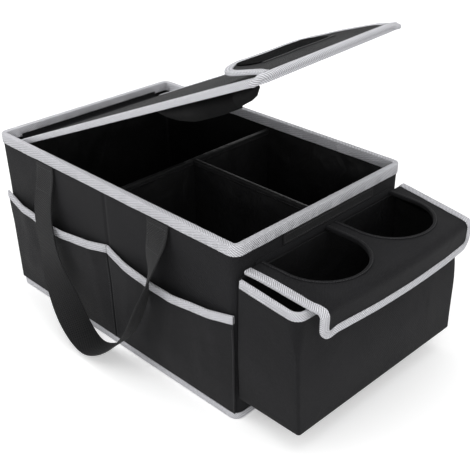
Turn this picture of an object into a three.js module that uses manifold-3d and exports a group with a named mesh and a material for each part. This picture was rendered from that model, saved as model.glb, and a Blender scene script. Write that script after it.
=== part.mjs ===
import * as THREE from 'three';
import { mergeVertices } from 'three/addons/utils/BufferGeometryUtils.js';
import Module from 'manifold-3d';

// Back seat organizer: an open box of cloth over stiff boards, with two dividers, a bound lid with
// a fold-over closure flap, bellied side pockets, webbing handles and a cup holder pouch on one end.
// Millimetres. The origin is on the floor under the middle of the box; X runs along the box towards
// the cup holders, Y from the near long wall to the far one, Z up.

const wasm = await Module();
wasm.setup();

// Box
const boxLength = 420;
const boxWidth = 280;
const boxHeight = 224;
const cornerRadius = 10;
const clothThickness = 1.2;
const wallBoardThickness = 2.4;
const liningThickness = 0.8;
const seatGap = 0.3;

// Binding tape
const tapeThickness = 0.8;
const rimReach = 12.5;
const slimReach = 8.5;
const bottomBandHeight = 8.5;
const bandBevel = 0.3;

// Boards and dividers
const boardCorner = 8;
const boardFoldGap = 6;
const boardInset = 5;
const baseBoardThickness = 3;
const dividerThickness = 4;
const dividerHeight = 208;
const dividerBead = 1.1;
const dividerBeadHeight = 7;
const foldGroove = 0.7;

// Side pockets
const pocketHeight = 142;
const pocketSag = 9;
const pocketBelly = 9;
const pocketCloth = 1;
const pocketEndInset = 5;
const pocketSeamGap = 1.6;
const pocketFootBelly = 0.35;
const pocketFootRise = 3;

// Handles
const strapWidth = 35;
const strapThickness = 1.6;
const strapLeft = -112;
const strapRight = 95.5;
const strapLow = 13;
const strapOut = 31;
const strapTurnFrom = 0.16;
const strapTurnTo = 0.86;

// Lid and closure flap
const lidLength = 462;
const lidWidth = 252;
const lidCloth = 0.9;
const lidBoardThickness = 2.2;
const lidCorner = 14;
const lidFarCorner = 60;
const lidTwist = 9;
const lidOpenAngle = 23.4;
const lidHingeHeight = 207;
const lidHingeInset = 8;
const lidHingeBead = 1.5;
const lidTapeHeight = 10;
const lidTapeSeam = 3.5;
const lidTapeTab = 0.9;
const lidTapeWeb = 0.45;
const flapRootWidth = 190;
const flapTipWidth = 160;
const flapDepth = 90;
const flapCorner = 44;
const flapShift = -24;
const flapCloth = 1.4;
const flapRestAngle = 5;
const flapLift = 3;
const hookStripWidth = 112;
const hookStripDepth = 32;
const hookStripInset = 4;
const hookStripThickness = 1.4;
const cornerTabLength = 27;
const cornerTabDepth = 13;
const cornerTabTip = 0.35;

// Cup holder pouch and its cover
const pouchWidth = 276;
const pouchBottom = 32;
const pouchDepthBottom = 92;
const pouchDepthTop = 84;
const pouchRimBack = 187;
const pouchRimFront = 179;
const pouchCloth = 2;
const pouchCorner = 12;
const pouchBelly = 2.5;
const pouchBackCorner = 3;
const frontSkew = 8;
const coverHeight = 192;
const coverThickness = 2.4;
const coverDepth = 100;
const coverRootWidth = 278;
const coverTipWidth = 248;
const coverRootShift = 9;
const coverTipShift = 2;
const coverFoldRadius = 6;
const coverLipHeight = 27;
const coverLipCorner = 14;
const coverBow = 7;
const cupRadius = 50;
const cupSpacing = 119;
const cupShift = 7.5;
const cupReach = 83;
const cupEdgeReach = 4.5;
const patchWidth = 156;
const patchHeight = 13;
const patchCorner = 2;
const patchThickness = 1.4;
const coverTapeHeight = 6.5;
const coverHingeGap = 0.5;

const wallThickness = clothThickness + wallBoardThickness + liningThickness + 2 * seatGap;
const halfLength = boxLength / 2;
const halfWidth = boxWidth / 2;
const innerHalfLength = halfLength - wallThickness;
const innerHalfWidth = halfWidth - wallThickness;
const wallTop = boxHeight - tapeThickness - seatGap;
const wallBottom = clothThickness + seatGap;
const rimLower = boxHeight - rimReach;
const floorHeight = wallBottom + liningThickness + seatGap + baseBoardThickness;
const lidHingeX = -innerHalfLength + lidHingeInset;

// The pouch's walls run straight up under their binding, above this share of their height.
const pouchStraightFrom = 1 - 2 * slimReach / (pouchRimBack - pouchBottom);

const black = { color: 0x26262a, roughness: 0.9, metalness: 0 };
const deepBlack = { color: 0x131315, roughness: 0.75, metalness: 0 };
const webbing = { color: 0x2b2b2c, roughness: 0.85, metalness: 0 };
const grey = { color: 0xb9bac0, roughness: 0.8, metalness: 0 };
const boardGrey = { color: 0x6b675f, roughness: 0.9, metalness: 0 };

function named(name, geometry, finish) {
  const mesh = new THREE.Mesh(geometry, new THREE.MeshStandardMaterial(finish));
  mesh.name = name;
  return mesh;
}

// Closed triangle mesh from points and faces, turned outward if its volume comes out negative.
function closedGeometry(points, faces) {
  let volume = 0;
  for (const [a, b, c] of faces) {
    volume += points[a].dot(new THREE.Vector3().crossVectors(points[b], points[c]));
  }
  const outward = volume > 0;
  const geometry = new THREE.BufferGeometry();
  const positions = points.flatMap((point) => [point.x, point.y, point.z]);
  geometry.setAttribute('position', new THREE.Float32BufferAttribute(positions, 3));
  geometry.setIndex(faces.flatMap(([a, b, c]) => (outward ? [a, b, c] : [a, c, b])));
  return geometry;
}

// Sweep of a closed 2-D section along stations that each give a point and the section's two axes.
// Facing sides are split along parallel diagonals, so that a twisted strip keeps its thickness.
function sweep(outline, stations, loop = false) {
  const section = THREE.ShapeUtils.isClockWise(outline) ? [...outline].reverse() : outline;
  const count = section.length;
  const points = stations.flatMap(({ at, across, up }) => section.map((corner) => (
    at.clone().addScaledVector(across, corner.x).addScaledVector(up, corner.y)
  )));
  const faces = [];
  const spans = loop ? stations.length : stations.length - 1;
  for (let station = 0; station < spans; station += 1) {
    const here = station * count;
    const next = ((station + 1) % stations.length) * count;
    for (let corner = 0; corner < count; corner += 1) {
      const other = (corner + 1) % count;
      if (section[other].x > section[corner].x) {
        faces.push([here + corner, here + other, next + other]);
        faces.push([here + corner, next + other, next + corner]);
      } else {
        faces.push([here + corner, here + other, next + corner]);
        faces.push([here + other, next + other, next + corner]);
      }
    }
  }
  if (!loop) {
    const last = (stations.length - 1) * count;
    for (const [a, b, c] of THREE.ShapeUtils.triangulateShape(section, [])) {
      faces.push([a, c, b]);
      faces.push([last + a, last + b, last + c]);
    }
  }
  return closedGeometry(points, faces);
}

// Cloth sheet of even thickness over a grid: surface(across, along) is its middle, and each row
// gives its place along the sheet and its half width there.
function sheet(surface, rows, columns, thickness) {
  const points = [];
  const width = columns + 1;
  const layer = rows.length * width;
  for (const side of [0.5, -0.5]) {
    for (const row of rows) {
      for (let column = 0; column <= columns; column += 1) {
        const across = row.centre + row.half * (2 * column / columns - 1);
        points.push(offsetFrom(surface, across, row.along, side * thickness));
      }
    }
  }
  const faces = [];
  const at = (side, row, column) => side * layer + row * width + column;
  const quad = (a, b, c, d) => faces.push([a, b, c], [a, c, d]);
  for (let row = 0; row + 1 < rows.length; row += 1) {
    for (let column = 0; column < columns; column += 1) {
      quad(at(0, row, column), at(0, row, column + 1), at(0, row + 1, column + 1), at(0, row + 1, column));
      quad(at(1, row, column), at(1, row + 1, column), at(1, row + 1, column + 1), at(1, row, column + 1));
    }
    quad(at(0, row, 0), at(0, row + 1, 0), at(1, row + 1, 0), at(1, row, 0));
    quad(at(0, row, columns), at(1, row, columns), at(1, row + 1, columns), at(0, row + 1, columns));
  }
  const end = rows.length - 1;
  for (let column = 0; column < columns; column += 1) {
    quad(at(0, 0, column), at(1, 0, column), at(1, 0, column + 1), at(0, 0, column + 1));
    quad(at(0, end, column), at(0, end, column + 1), at(1, end, column + 1), at(1, end, column));
  }
  return closedGeometry(points, faces);
}

function slopes(surface, across, along) {
  const step = 0.05;
  const sideways = surface(across + step, along).sub(surface(across - step, along)).normalize();
  const onward = surface(across, along + step).sub(surface(across, along - step)).normalize();
  return { sideways, onward };
}

function offsetFrom(surface, across, along, distance) {
  const { sideways, onward } = slopes(surface, across, along);
  const normal = new THREE.Vector3().crossVectors(sideways, onward).normalize();
  return surface(across, along).addScaledVector(normal, distance);
}

// U-shaped section of folded tape around the edge of something `thick`: x points off the edge.
function tapeSection(thick, reach) {
  const inside = thick / 2 + seatGap;
  const outside = inside + tapeThickness;
  const nose = seatGap + tapeThickness;
  return [
    [-reach, outside], [0, outside], [nose, 0.6 * inside], [nose, -0.6 * inside], [0, -outside],
    [-reach, -outside], [-reach, -inside], [seatGap, -inside], [seatGap, inside], [-reach, inside],
  ].map(([x, y]) => new THREE.Vector2(x, y));
}

// Binding along an edge of a sheet: the path holds [across, along, off across, off along].
function binding(surface, path, thick, reach) {
  const stations = path.map(([across, along, offAcross, offAlong]) => {
    const { sideways, onward } = slopes(surface, across, along);
    const off = sideways.clone().multiplyScalar(offAcross).addScaledVector(onward, offAlong).normalize();
    const up = new THREE.Vector3().crossVectors(sideways, onward).normalize();
    return { at: surface(across, along), across: off, up };
  });
  return sweep(tapeSection(thick, reach), stations);
}

// How far a panel's rounded free corner has turned at a place along the panel.
function cornerTurn(along, depth, corner) {
  return Math.asin(THREE.MathUtils.clamp((along - depth + corner) / corner, 0, 1));
}

// Rows of a panel that is straight at its root and has rounded corners at its free edge.
function roundedRows({ rootWidth, tipWidth, depth, corner, farCorner = corner, shift = 0, plain, arc }) {
  const steps = (count) => Array.from({ length: count + 1 }, (_, step) => step / count);
  const widest = Math.max(corner, farCorner);
  const alongs = [
    ...steps(plain).slice(0, -1).map((share) => (depth - widest) * share),
    ...steps(arc).map((share) => depth - widest + widest * Math.sin(Math.PI / 2 * share)),
  ];
  if (corner < widest) {
    const near = steps(arc).slice(0, -1);
    alongs.push(...near.map((share) => depth - corner + corner * Math.sin(Math.PI / 2 * share)));
    alongs.sort((a, b) => a - b);
  }
  return alongs.map((along) => {
    const half = THREE.MathUtils.lerp(rootWidth, tipWidth, along / depth) / 2;
    const inset = (radius) => radius * (1 - Math.cos(cornerTurn(along, depth, radius)));
    const low = inset(corner) - half;
    const high = half - inset(farCorner);
    return { along, half: (high - low) / 2, centre: shift + (high + low) / 2 };
  });
}

// The same panel's free outline as a binding path, from one side round to the other.
function roundedPath(rows, { corner, farCorner = corner, depth }) {
  const side = (sign, radius) => rows.map((row) => {
    const turn = cornerTurn(row.along, depth, radius);
    return [row.centre + sign * row.half, row.along, sign * Math.cos(turn), Math.sin(turn)];
  });
  return [...side(-1, corner), ...side(1, farCorner).reverse()];
}

function roundedRectangle(width, height, radius) {
  const shape = new THREE.Shape();
  const x = width / 2;
  const y = height / 2;
  shape.moveTo(-x + radius, -y);
  shape.lineTo(x - radius, -y);
  shape.absarc(x - radius, -y + radius, radius, -Math.PI / 2, 0);
  shape.lineTo(x, y - radius);
  shape.absarc(x - radius, y - radius, radius, 0, Math.PI / 2);
  shape.lineTo(-x + radius, y);
  shape.absarc(-x + radius, y - radius, radius, Math.PI / 2, Math.PI);
  shape.lineTo(-x, -y + radius);
  shape.absarc(-x + radius, -y + radius, radius, Math.PI, 1.5 * Math.PI);
  return shape;
}

function plate(shape, thickness, curveSegments = 4) {
  return new THREE.ExtrudeGeometry(shape, { depth: thickness, bevelEnabled: false, curveSegments });
}

function toSolid(geometry) {
  const bare = geometry.clone();
  bare.deleteAttribute('normal');
  bare.deleteAttribute('uv');
  const merged = mergeVertices(bare);
  const vertProperties = new Float32Array(merged.attributes.position.array);
  const triVerts = new Uint32Array(merged.index.array);
  return new wasm.Manifold(new wasm.Mesh({ numProp: 3, vertProperties, triVerts }));
}

function toGeometry(solid) {
  const mesh = solid.getMesh();
  const geometry = new THREE.BufferGeometry();
  geometry.setAttribute('position', new THREE.BufferAttribute(mesh.vertProperties, 3));
  geometry.setIndex(new THREE.BufferAttribute(mesh.triVerts, 1));
  return geometry;
}

// Closed route round the box at a given distance outside its cloth.
function boxRoute(outset, height) {
  const points = roundedRectangle(
    boxLength + 2 * outset, boxWidth + 2 * outset, cornerRadius + outset,
  ).getPoints(4);
  const route = points.filter((point, index) => (
    index === 0 || point.distanceTo(points[index - 1]) > 1e-6
  ));
  if (route[0].distanceTo(route[route.length - 1]) < 1e-6) {
    route.pop();
  }
  return route.map((point, index) => {
    const before = route[(index + route.length - 1) % route.length];
    const after = route[(index + 1) % route.length];
    const inward = point.clone().sub(before).normalize();
    const onward = after.clone().sub(point).normalize();
    const mean = inward.add(onward).normalize();
    const stretch = 1 / mean.dot(onward);
    return {
      at: new THREE.Vector3(point.x, point.y, height),
      off: new THREE.Vector3(mean.y, -mean.x, 0).multiplyScalar(stretch),
    };
  });
}

function makeWalls() {
  const walls = [];
  const straight = halfLength - cornerRadius - seatGap / 2;
  for (const [side, sign] of [['near', -1], ['far', 1]]) {
    const face = sign * halfWidth;
    const back = sign * (halfWidth - clothThickness);
    const groove = sign * (halfWidth - foldGroove);
    const shape = new THREE.Shape([
      [-straight, face], [-3 * foldGroove, face], [0, groove], [3 * foldGroove, face],
      [straight, face], [straight, back], [-straight, back],
    ].map(([x, y]) => new THREE.Vector2(x, y)));
    const wall = named(`${side}_wall`, plate(shape, wallTop - wallBottom), black);
    wall.position.z = wallBottom;
    walls.push(wall);
  }
  for (const [side, sign] of [['left', -1], ['right', 1]]) {
    walls.push(makeEndWall(`${side}_wall`, sign));
  }
  return walls;
}

// An end wall's cloth turns round both corners to meet the long walls at their seams.
function makeEndWall(name, sign) {
  const outline = [];
  const centreX = halfLength - cornerRadius;
  const centreY = halfWidth - cornerRadius;
  for (const [radius, order] of [[cornerRadius, 1], [cornerRadius - clothThickness, -1]]) {
    const arcs = [];
    for (const [cornerSign, start] of [[-1, -Math.PI / 2], [1, 0]]) {
      for (let step = 0; step <= 4; step += 1) {
        const turn = start + Math.PI / 2 * step / 4;
        const x = centreX + radius * Math.cos(turn);
        const y = cornerSign * centreY + radius * Math.sin(turn);
        arcs.push(new THREE.Vector2(sign * x, y));
      }
    }
    outline.push(...(order > 0 ? arcs : arcs.reverse()));
  }
  const wall = named(name, plate(new THREE.Shape(outline), wallTop - wallBottom), black);
  wall.position.z = wallBottom;
  return wall;
}

// Stiffening boards between the outer cloth and the lining; the long walls fold at their middle.
function makeWallBoards() {
  const boards = [];
  const height = wallTop - wallBottom - 2 * boardInset;
  const middle = (wallTop + wallBottom) / 2;
  const depthIn = clothThickness + seatGap;
  const reach = halfLength - cornerRadius;
  const length = reach - boardFoldGap / 2;
  const endLength = boxWidth - 2 * cornerRadius;
  const longBoard = plate(roundedRectangle(length, height, boardCorner), wallBoardThickness);
  const endBoard = plate(roundedRectangle(endLength, height, boardCorner), wallBoardThickness);
  for (const [side, sign] of [['near', -1], ['far', 1]]) {
    for (const [end, endSign] of [['left', -1], ['right', 1]]) {
      const board = named(`${side}_board_${end}`, longBoard, boardGrey);
      board.rotation.x = Math.PI / 2;
      const face = sign * (halfWidth - depthIn) + (sign > 0 ? 0 : wallBoardThickness);
      board.position.set(endSign * (reach + boardFoldGap / 2) / 2, face, middle);
      boards.push(board);
    }
  }
  for (const [end, endSign] of [['left', -1], ['right', 1]]) {
    const board = named(`${end}_board`, endBoard, boardGrey);
    board.rotation.set(Math.PI / 2, Math.PI / 2, 0);
    const face = endSign * (halfLength - depthIn);
    board.position.set(endSign > 0 ? face - wallBoardThickness : face, 0, middle);
    boards.push(board);
  }
  return boards;
}

function makeBase() {
  const sole = roundedRectangle(boxLength, boxWidth, cornerRadius);
  const base = named('base_cloth', plate(sole, clothThickness), black);
  const outerX = boxLength - 2 * (wallThickness - liningThickness);
  const outerY = boxWidth - 2 * (wallThickness - liningThickness);
  const outerRadius = cornerRadius - wallThickness + liningThickness;
  const shell = plate(roundedRectangle(outerX, outerY, outerRadius), wallTop - wallBottom);
  const hollow = plate(roundedRectangle(
    outerX - 2 * liningThickness, outerY - 2 * liningThickness, outerRadius - liningThickness,
  ), wallTop);
  hollow.translate(0, 0, liningThickness);
  const lining = named('lining', toGeometry(toSolid(shell).subtract(toSolid(hollow))), deepBlack);
  lining.position.z = wallBottom;
  const board = named('base_board', plate(roundedRectangle(
    2 * (innerHalfLength - seatGap), 2 * (innerHalfWidth - seatGap), boardCorner,
  ), baseBoardThickness), deepBlack);
  board.position.z = floorHeight - baseBoardThickness;
  return [base, lining, board];
}

function makeBoxBindings() {
  const middle = -wallThickness / 2;
  const rim = boxRoute(middle, wallTop).map(({ at, off }) => ({
    at, across: new THREE.Vector3(0, 0, 1), up: off,
  }));
  const band = boxRoute(seatGap, seatGap).map(({ at, off }) => ({
    at, across: new THREE.Vector3(0, 0, 1), up: off,
  }));
  const bandSection = [
    [0, 0], [bottomBandHeight, 0],
    [bottomBandHeight - bandBevel, tapeThickness], [bandBevel, tapeThickness],
  ].map(([x, y]) => new THREE.Vector2(x, y));
  const rimSection = tapeSection(wallThickness, rimReach - seatGap - tapeThickness);
  return [
    named('rim_binding', sweep(rimSection, rim, true), grey),
    named('bottom_binding', sweep(bandSection, band, true), grey),
  ];
}

// A divider is a covered board with a bound bead along its top edge.
function makeDivider(name, length, along) {
  const half = dividerThickness / 2;
  const bottom = floorHeight + seatGap;
  const beadBase = dividerHeight - dividerBeadHeight;
  const beadLow = beadBase + dividerBead;
  const beadHigh = dividerHeight - 2 * dividerBead;
  const wide = half + dividerBead;
  const section = [
    [-half, bottom], [half, bottom], [half, beadBase], [wide, beadLow], [wide, beadHigh],
    [half, dividerHeight], [-half, dividerHeight], [-wide, beadHigh], [-wide, beadLow],
    [-half, beadBase],
  ].map(([x, y]) => new THREE.Vector2(x, y));
  const divider = named(name, plate(new THREE.Shape(section), length), deepBlack);
  divider.geometry.rotateX(Math.PI / 2);
  if (along === 'x') {
    divider.geometry.rotateZ(Math.PI / 2);
  }
  return divider;
}

function makeDividers() {
  const crossLength = 2 * (innerHalfWidth - seatGap);
  const cross = makeDivider('cross_divider', crossLength, 'y');
  cross.position.y = crossLength / 2;
  const start = dividerThickness / 2 + dividerBead + seatGap;
  const lengthwise = makeDivider('long_divider', innerHalfLength - seatGap - start, 'x');
  lengthwise.position.x = start;
  return [cross, lengthwise];
}

// A pocket is a cloth panel sewn down on three sides, bellied out and sagging at its bound top.
function makePocket(side, sign, end, endSign) {
  const first = pocketSeamGap / 2;
  const last = halfLength - pocketEndInset;
  const half = (last - first) / 2;
  const centre = endSign * (first + last) / 2;
  const bottom = seatGap + bottomBandHeight + seatGap + pocketCloth;
  const rest = halfWidth + seatGap + pocketCloth / 2;
  const tall = pocketHeight - bottom;
  const surface = (across, along) => {
    const u = THREE.MathUtils.clamp((across - centre) / half, -1, 1);
    const v = along / tall;
    const arch = 1 - u * u;
    const rise = Math.sin(Math.min(1, pocketFootRise * v) * Math.PI / 2);
    const belly = pocketBelly * arch * THREE.MathUtils.lerp(pocketFootBelly, 1, v) * rise;
    const underTape = (seatGap + tapeThickness) * THREE.MathUtils.smoothstep(v, 0.6, 0.9);
    const height = bottom + along - pocketSag * arch * v ** 3;
    return new THREE.Vector3(across, sign * (rest + underTape + belly), height);
  };
  const rowCount = 7;
  const rows = Array.from({ length: rowCount + 1 }, (_, row) => (
    { along: tall * row / rowCount, half, centre }
  ));
  const columns = 12;
  const path = Array.from({ length: columns + 1 }, (_, column) => (
    [centre + half * (2 * column / columns - 1), tall, 0, 1]
  ));
  return [
    named(`${side}_pocket_${end}`, sheet(surface, rows, columns, pocketCloth), black),
    named(`${side}_pocket_${end}_binding`, binding(surface, path, pocketCloth, slimReach), grey),
  ];
}

// Course of a handle, as shares of its span along the wall, its reach off the wall and its drop.
const strapCourse = [
  [0, 0, 0], [0, 0.05, 0.08], [0, 0.26, 0.21], [0.01, 0.45, 0.32], [0.04, 0.64, 0.46],
  [0.1, 0.84, 0.62], [0.18, 0.94, 0.77], [0.28, 1, 0.894], [0.395, 1, 0.975], [0.51, 1, 1],
  [0.627, 1, 0.97], [0.733, 0.97, 0.874], [0.84, 0.9, 0.722], [0.935, 0.81, 0.53],
  [0.983, 0.61, 0.358], [1, 0.385, 0.217], [1, 0.1, 0.09], [1, 0, 0],
];

// Handle: a webbing loop sewn under the rim at both ends, hanging in a long bow in front of the
// pockets and turning edge on at its lowest point.
function makeHandle(name, sign) {
  const start = rimLower - 2 * seatGap;
  const seat = halfWidth + seatGap + strapThickness / 2;
  const route = new THREE.CatmullRomCurve3(strapCourse.map(([across, out, drop]) => (
    new THREE.Vector3(
      THREE.MathUtils.lerp(strapLeft, strapRight, across),
      sign * (seat + strapOut * out),
      THREE.MathUtils.lerp(start, strapLow, drop),
    )
  )), false, 'centripetal');
  const steps = 56;
  const half = strapWidth / 2;
  const thick = strapThickness / 2;
  const section = [
    [-half, -thick], [0, -thick], [half, -thick], [half, thick], [0, thick], [-half, thick],
  ].map(([x, y]) => new THREE.Vector2(x, y));
  const stations = Array.from({ length: steps + 1 }, (_, step) => {
    const share = step / steps;
    const turn = Math.PI * THREE.MathUtils.smoothstep(share, strapTurnFrom, strapTurnTo);
    const tangent = route.getTangentAt(share);
    const wide = new THREE.Vector3(Math.cos(turn), -sign * Math.sin(turn), 0);
    const up = new THREE.Vector3().crossVectors(tangent, wide).normalize();
    const across = new THREE.Vector3().crossVectors(up, tangent).normalize();
    return { at: route.getPointAt(share), across, up };
  });
  return named(name, sweep(section, stations), webbing);
}

function makeEndWallFittings() {
  const face = halfLength + seatGap;
  const patchShape = roundedRectangle(patchWidth, patchHeight, patchCorner);
  const patch = named('loop_patch', plate(patchShape, patchThickness, 2), deepBlack);
  patch.rotation.set(Math.PI / 2, Math.PI / 2, 0);
  const patchTop = rimLower - seatGap;
  patch.position.set(face, cupShift, patchTop - patchHeight / 2);
  const tapeWidth = boxWidth - 4 * cornerRadius;
  const tapeShape = new THREE.BoxGeometry(patchThickness, tapeWidth, coverTapeHeight);
  const tape = named('cover_hinge_tape', tapeShape, black);
  const tapeHeight = coverHeight - coverThickness / 2 + coverTapeHeight / 2;
  tape.position.set(face + patchThickness / 2, cupShift, tapeHeight);
  const lidTape = named('lid_hinge_tape', lidTapeGeometry(), black);
  lidTape.position.y = lidTapeLength() / 2;
  return [patch, tape, lidTape];
}

function lidTapeLength() {
  return lidWidth - 2 * lidCorner;
}

// The lid's hinge is a cloth fold: a tab sewn to the rim binding's inner leg and a web out to a bead
// on the fold line, which the lid's root turns about.
function lidTapeGeometry() {
  const wall = -innerHalfLength + tapeThickness + 2 * seatGap;
  const face = wall + lidTapeTab;
  const top = Math.max(lidHingeHeight, rimLower) + lidTapeSeam;
  const bottom = Math.min(lidHingeHeight, rimLower) - lidTapeHeight;
  const webTurn = Math.asin(lidTapeWeb / lidHingeBead);
  const shape = new THREE.Shape();
  shape.moveTo(wall, bottom);
  shape.lineTo(face, bottom);
  shape.lineTo(face, lidHingeHeight - lidTapeWeb);
  shape.absarc(lidHingeX, lidHingeHeight, lidHingeBead, Math.PI + webTurn, 3 * Math.PI - webTurn);
  shape.lineTo(face, lidHingeHeight + lidTapeWeb);
  shape.lineTo(face, top);
  shape.lineTo(wall, top);
  const geometry = plate(shape, lidTapeLength(), 10);
  geometry.rotateX(Math.PI / 2);
  return geometry;
}

// The lid's middle surface at a height above it; its far free corner stands a little proud.
function lidLayer(height) {
  return (across, along) => {
    const twist = lidTwist * (along / lidLength) * (across / lidWidth + 0.5);
    return new THREE.Vector3(along, across, height + twist);
  };
}

// Lid: cloth, board and lining bound together on three sides, turning on the fold at its root.
function makeLid() {
  const lid = new THREE.Group();
  lid.position.set(lidHingeX, 0, lidHingeHeight);
  lid.rotation.y = -THREE.MathUtils.degToRad(lidOpenAngle);
  const total = 2 * lidCloth + lidBoardThickness + 2 * seatGap;
  const root = lidHingeBead + seatGap;
  const edge = seatGap + tapeThickness;
  const panel = (inset) => ({
    rootWidth: lidWidth - 2 * (edge + inset),
    tipWidth: lidWidth - 2 * (edge + inset),
    depth: lidLength - edge - inset,
    corner: lidCorner - inset,
    farCorner: lidFarCorner - inset,
    plain: 7,
    arc: 4,
  });
  const columns = 4;
  const rows = roundedRows(panel(0));
  rows[0].along = root;
  const boardRows = roundedRows(panel(boardInset));
  boardRows[0].along = root + boardInset;
  const clothHeight = (total - lidCloth) / 2;
  lid.add(
    named('lid_cloth', sheet(lidLayer(clothHeight), rows, columns, lidCloth), black),
    named('lid_lining', sheet(lidLayer(-clothHeight), rows, columns, lidCloth), deepBlack),
    named('lid_board', sheet(lidLayer(0), boardRows, columns, lidBoardThickness), boardGrey),
    named('lid_binding', binding(lidLayer(0), roundedPath(rows, panel(0)), total, rimReach - edge), grey),
    makeCornerTab(total),
    makeClosureFlap(total),
  );
  return lid;
}

// Rounded cloth tab that hangs under the lid's near free corner, outside the rim when the lid shuts.
function makeCornerTab(total) {
  const surface = (across, along) => new THREE.Vector3(across, -lidWidth / 2 + rimReach + 2, -along);
  const top = total / 2 + seatGap;
  const first = halfLength + 2 * (seatGap + tapeThickness) + 2 * seatGap - lidHingeX;
  const count = 5;
  const rows = Array.from({ length: count + 1 }, (_, row) => {
    const turn = Math.PI / 2 * row / count;
    const half = cornerTabLength / 2 * THREE.MathUtils.lerp(cornerTabTip, 1, Math.cos(turn));
    return { along: top + cornerTabDepth * Math.sin(turn), half, centre: first + half };
  });
  return named('lid_corner_tab', sheet(surface, rows, 3, clothThickness), deepBlack);
}

// Closure flap: hinged on the lid's free edge and folded back over the lid, hook strip upward.
function makeClosureFlap(total) {
  const flap = new THREE.Group();
  flap.position.set(lidLength + seatGap, 0, flapLift + lidTwist / 2);
  const restTurn = THREE.MathUtils.degToRad(flapRestAngle);
  flap.rotation.set(Math.atan(lidTwist / lidWidth), restTurn, 0);
  const edge = seatGap + tapeThickness;
  const size = {
    rootWidth: flapRootWidth - 2 * edge,
    tipWidth: flapTipWidth - 2 * edge,
    depth: flapDepth - edge,
    corner: flapCorner,
    shift: flapShift,
    plain: 2,
    arc: 6,
  };
  const lidFace = total / 2 + seatGap + tapeThickness;
  const height = lidFace + seatGap + tapeThickness + seatGap + flapCloth / 2 + seatGap - flapLift;
  const surface = (across, along) => new THREE.Vector3(-along, across, height);
  const rows = roundedRows(size);
  rows[0].along = seatGap;
  const bound = binding(surface, roundedPath(rows, size), flapCloth, slimReach);
  const stripShape = roundedRectangle(hookStripDepth, hookStripWidth, hookStripDepth / 3);
  const strip = named('hook_strip', plate(stripShape, hookStripThickness, 4), deepBlack);
  const stripCentre = flapDepth - slimReach - hookStripInset - hookStripDepth / 2;
  strip.position.set(-stripCentre, flapShift, height + flapCloth / 2 + seatGap);
  flap.add(
    named('closure_flap', sheet(surface, rows, 1, flapCloth), black),
    named('closure_flap_binding', bound, grey),
    strip,
  );
  return flap;
}

// Plan outline of the pouch at an inset from its outer cloth, as points round it.
function pouchRing(share, inset, belly) {
  const back = halfLength + seatGap + inset;
  const rise = Math.min(1, share / pouchStraightFrom);
  const depth = THREE.MathUtils.lerp(pouchDepthBottom, pouchDepthTop, rise);
  const front = halfLength + depth + belly - inset;
  const half = pouchWidth / 2 + belly - inset;
  const points = [];
  const skew = frontSkew / 2;
  const corners = [
    [back, -half, pouchBackCorner, 1, 1, Math.PI],
    [front - skew, -half, pouchCorner, -1, 1, 1.5 * Math.PI],
    [front + skew, half, pouchCorner, -1, -1, 0],
    [back, half, pouchBackCorner, 1, -1, Math.PI / 2],
  ];
  for (const [x, y, radius, inX, inY, start] of corners) {
    const round = Math.max(radius - inset, 0.6);
    for (let step = 0; step <= 3; step += 1) {
      const turn = start + Math.PI / 2 * step / 3;
      const px = x + inX * round + round * Math.cos(turn);
      const py = y + inY * round + round * Math.sin(turn);
      points.push(new THREE.Vector2(px, py));
    }
  }
  return points;
}

function pouchRimHeight(x) {
  const share = THREE.MathUtils.clamp((x - halfLength) / pouchDepthTop, 0, 1);
  return THREE.MathUtils.lerp(pouchRimBack, pouchRimFront, share);
}

// Pouch: an open bag of stiffened cloth, lofted up its outside and back down its inside.
function makePouch() {
  const rings = [];
  const levels = 6;
  const swell = (share) => Math.sin(Math.PI * Math.min(1, share / pouchStraightFrom)) ** 2;
  const bulge = (share) => pouchBelly * swell(share);
  const ringAt = (share, inset, bottom) => pouchRing(share, inset, bulge(share)).map((point) => (
    new THREE.Vector3(point.x, point.y, THREE.MathUtils.lerp(bottom, pouchRimHeight(point.x), share))
  ));
  const shares = Array.from({ length: levels }, (_, level) => pouchStraightFrom * level / (levels - 1));
  shares.push(1);
  rings.push(...shares.map((share) => ringAt(share, 0, pouchBottom)));
  rings.push(...shares.reverse().map((share) => ringAt(share, pouchCloth, pouchBottom + pouchCloth)));
  const count = rings[0].length;
  const points = rings.flat();
  const faces = [];
  for (let ring = 0; ring + 1 < rings.length; ring += 1) {
    for (let corner = 0; corner < count; corner += 1) {
      const other = (corner + 1) % count;
      const here = ring * count;
      const next = here + count;
      faces.push([here + corner, here + other, next + other], [here + corner, next + other, next + corner]);
    }
  }
  const flat = (ring) => ring.map((point) => new THREE.Vector2(point.x, point.y));
  const last = (rings.length - 1) * count;
  for (const [a, b, c] of THREE.ShapeUtils.triangulateShape(flat(rings[0]), [])) {
    faces.push([a, c, b]);
  }
  for (const [a, b, c] of THREE.ShapeUtils.triangulateShape(flat(rings[rings.length - 1]), [])) {
    faces.push([last + a, last + b, last + c]);
  }
  return [named('pouch', closedGeometry(points, faces), black), makePouchBinding()];
}

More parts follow.
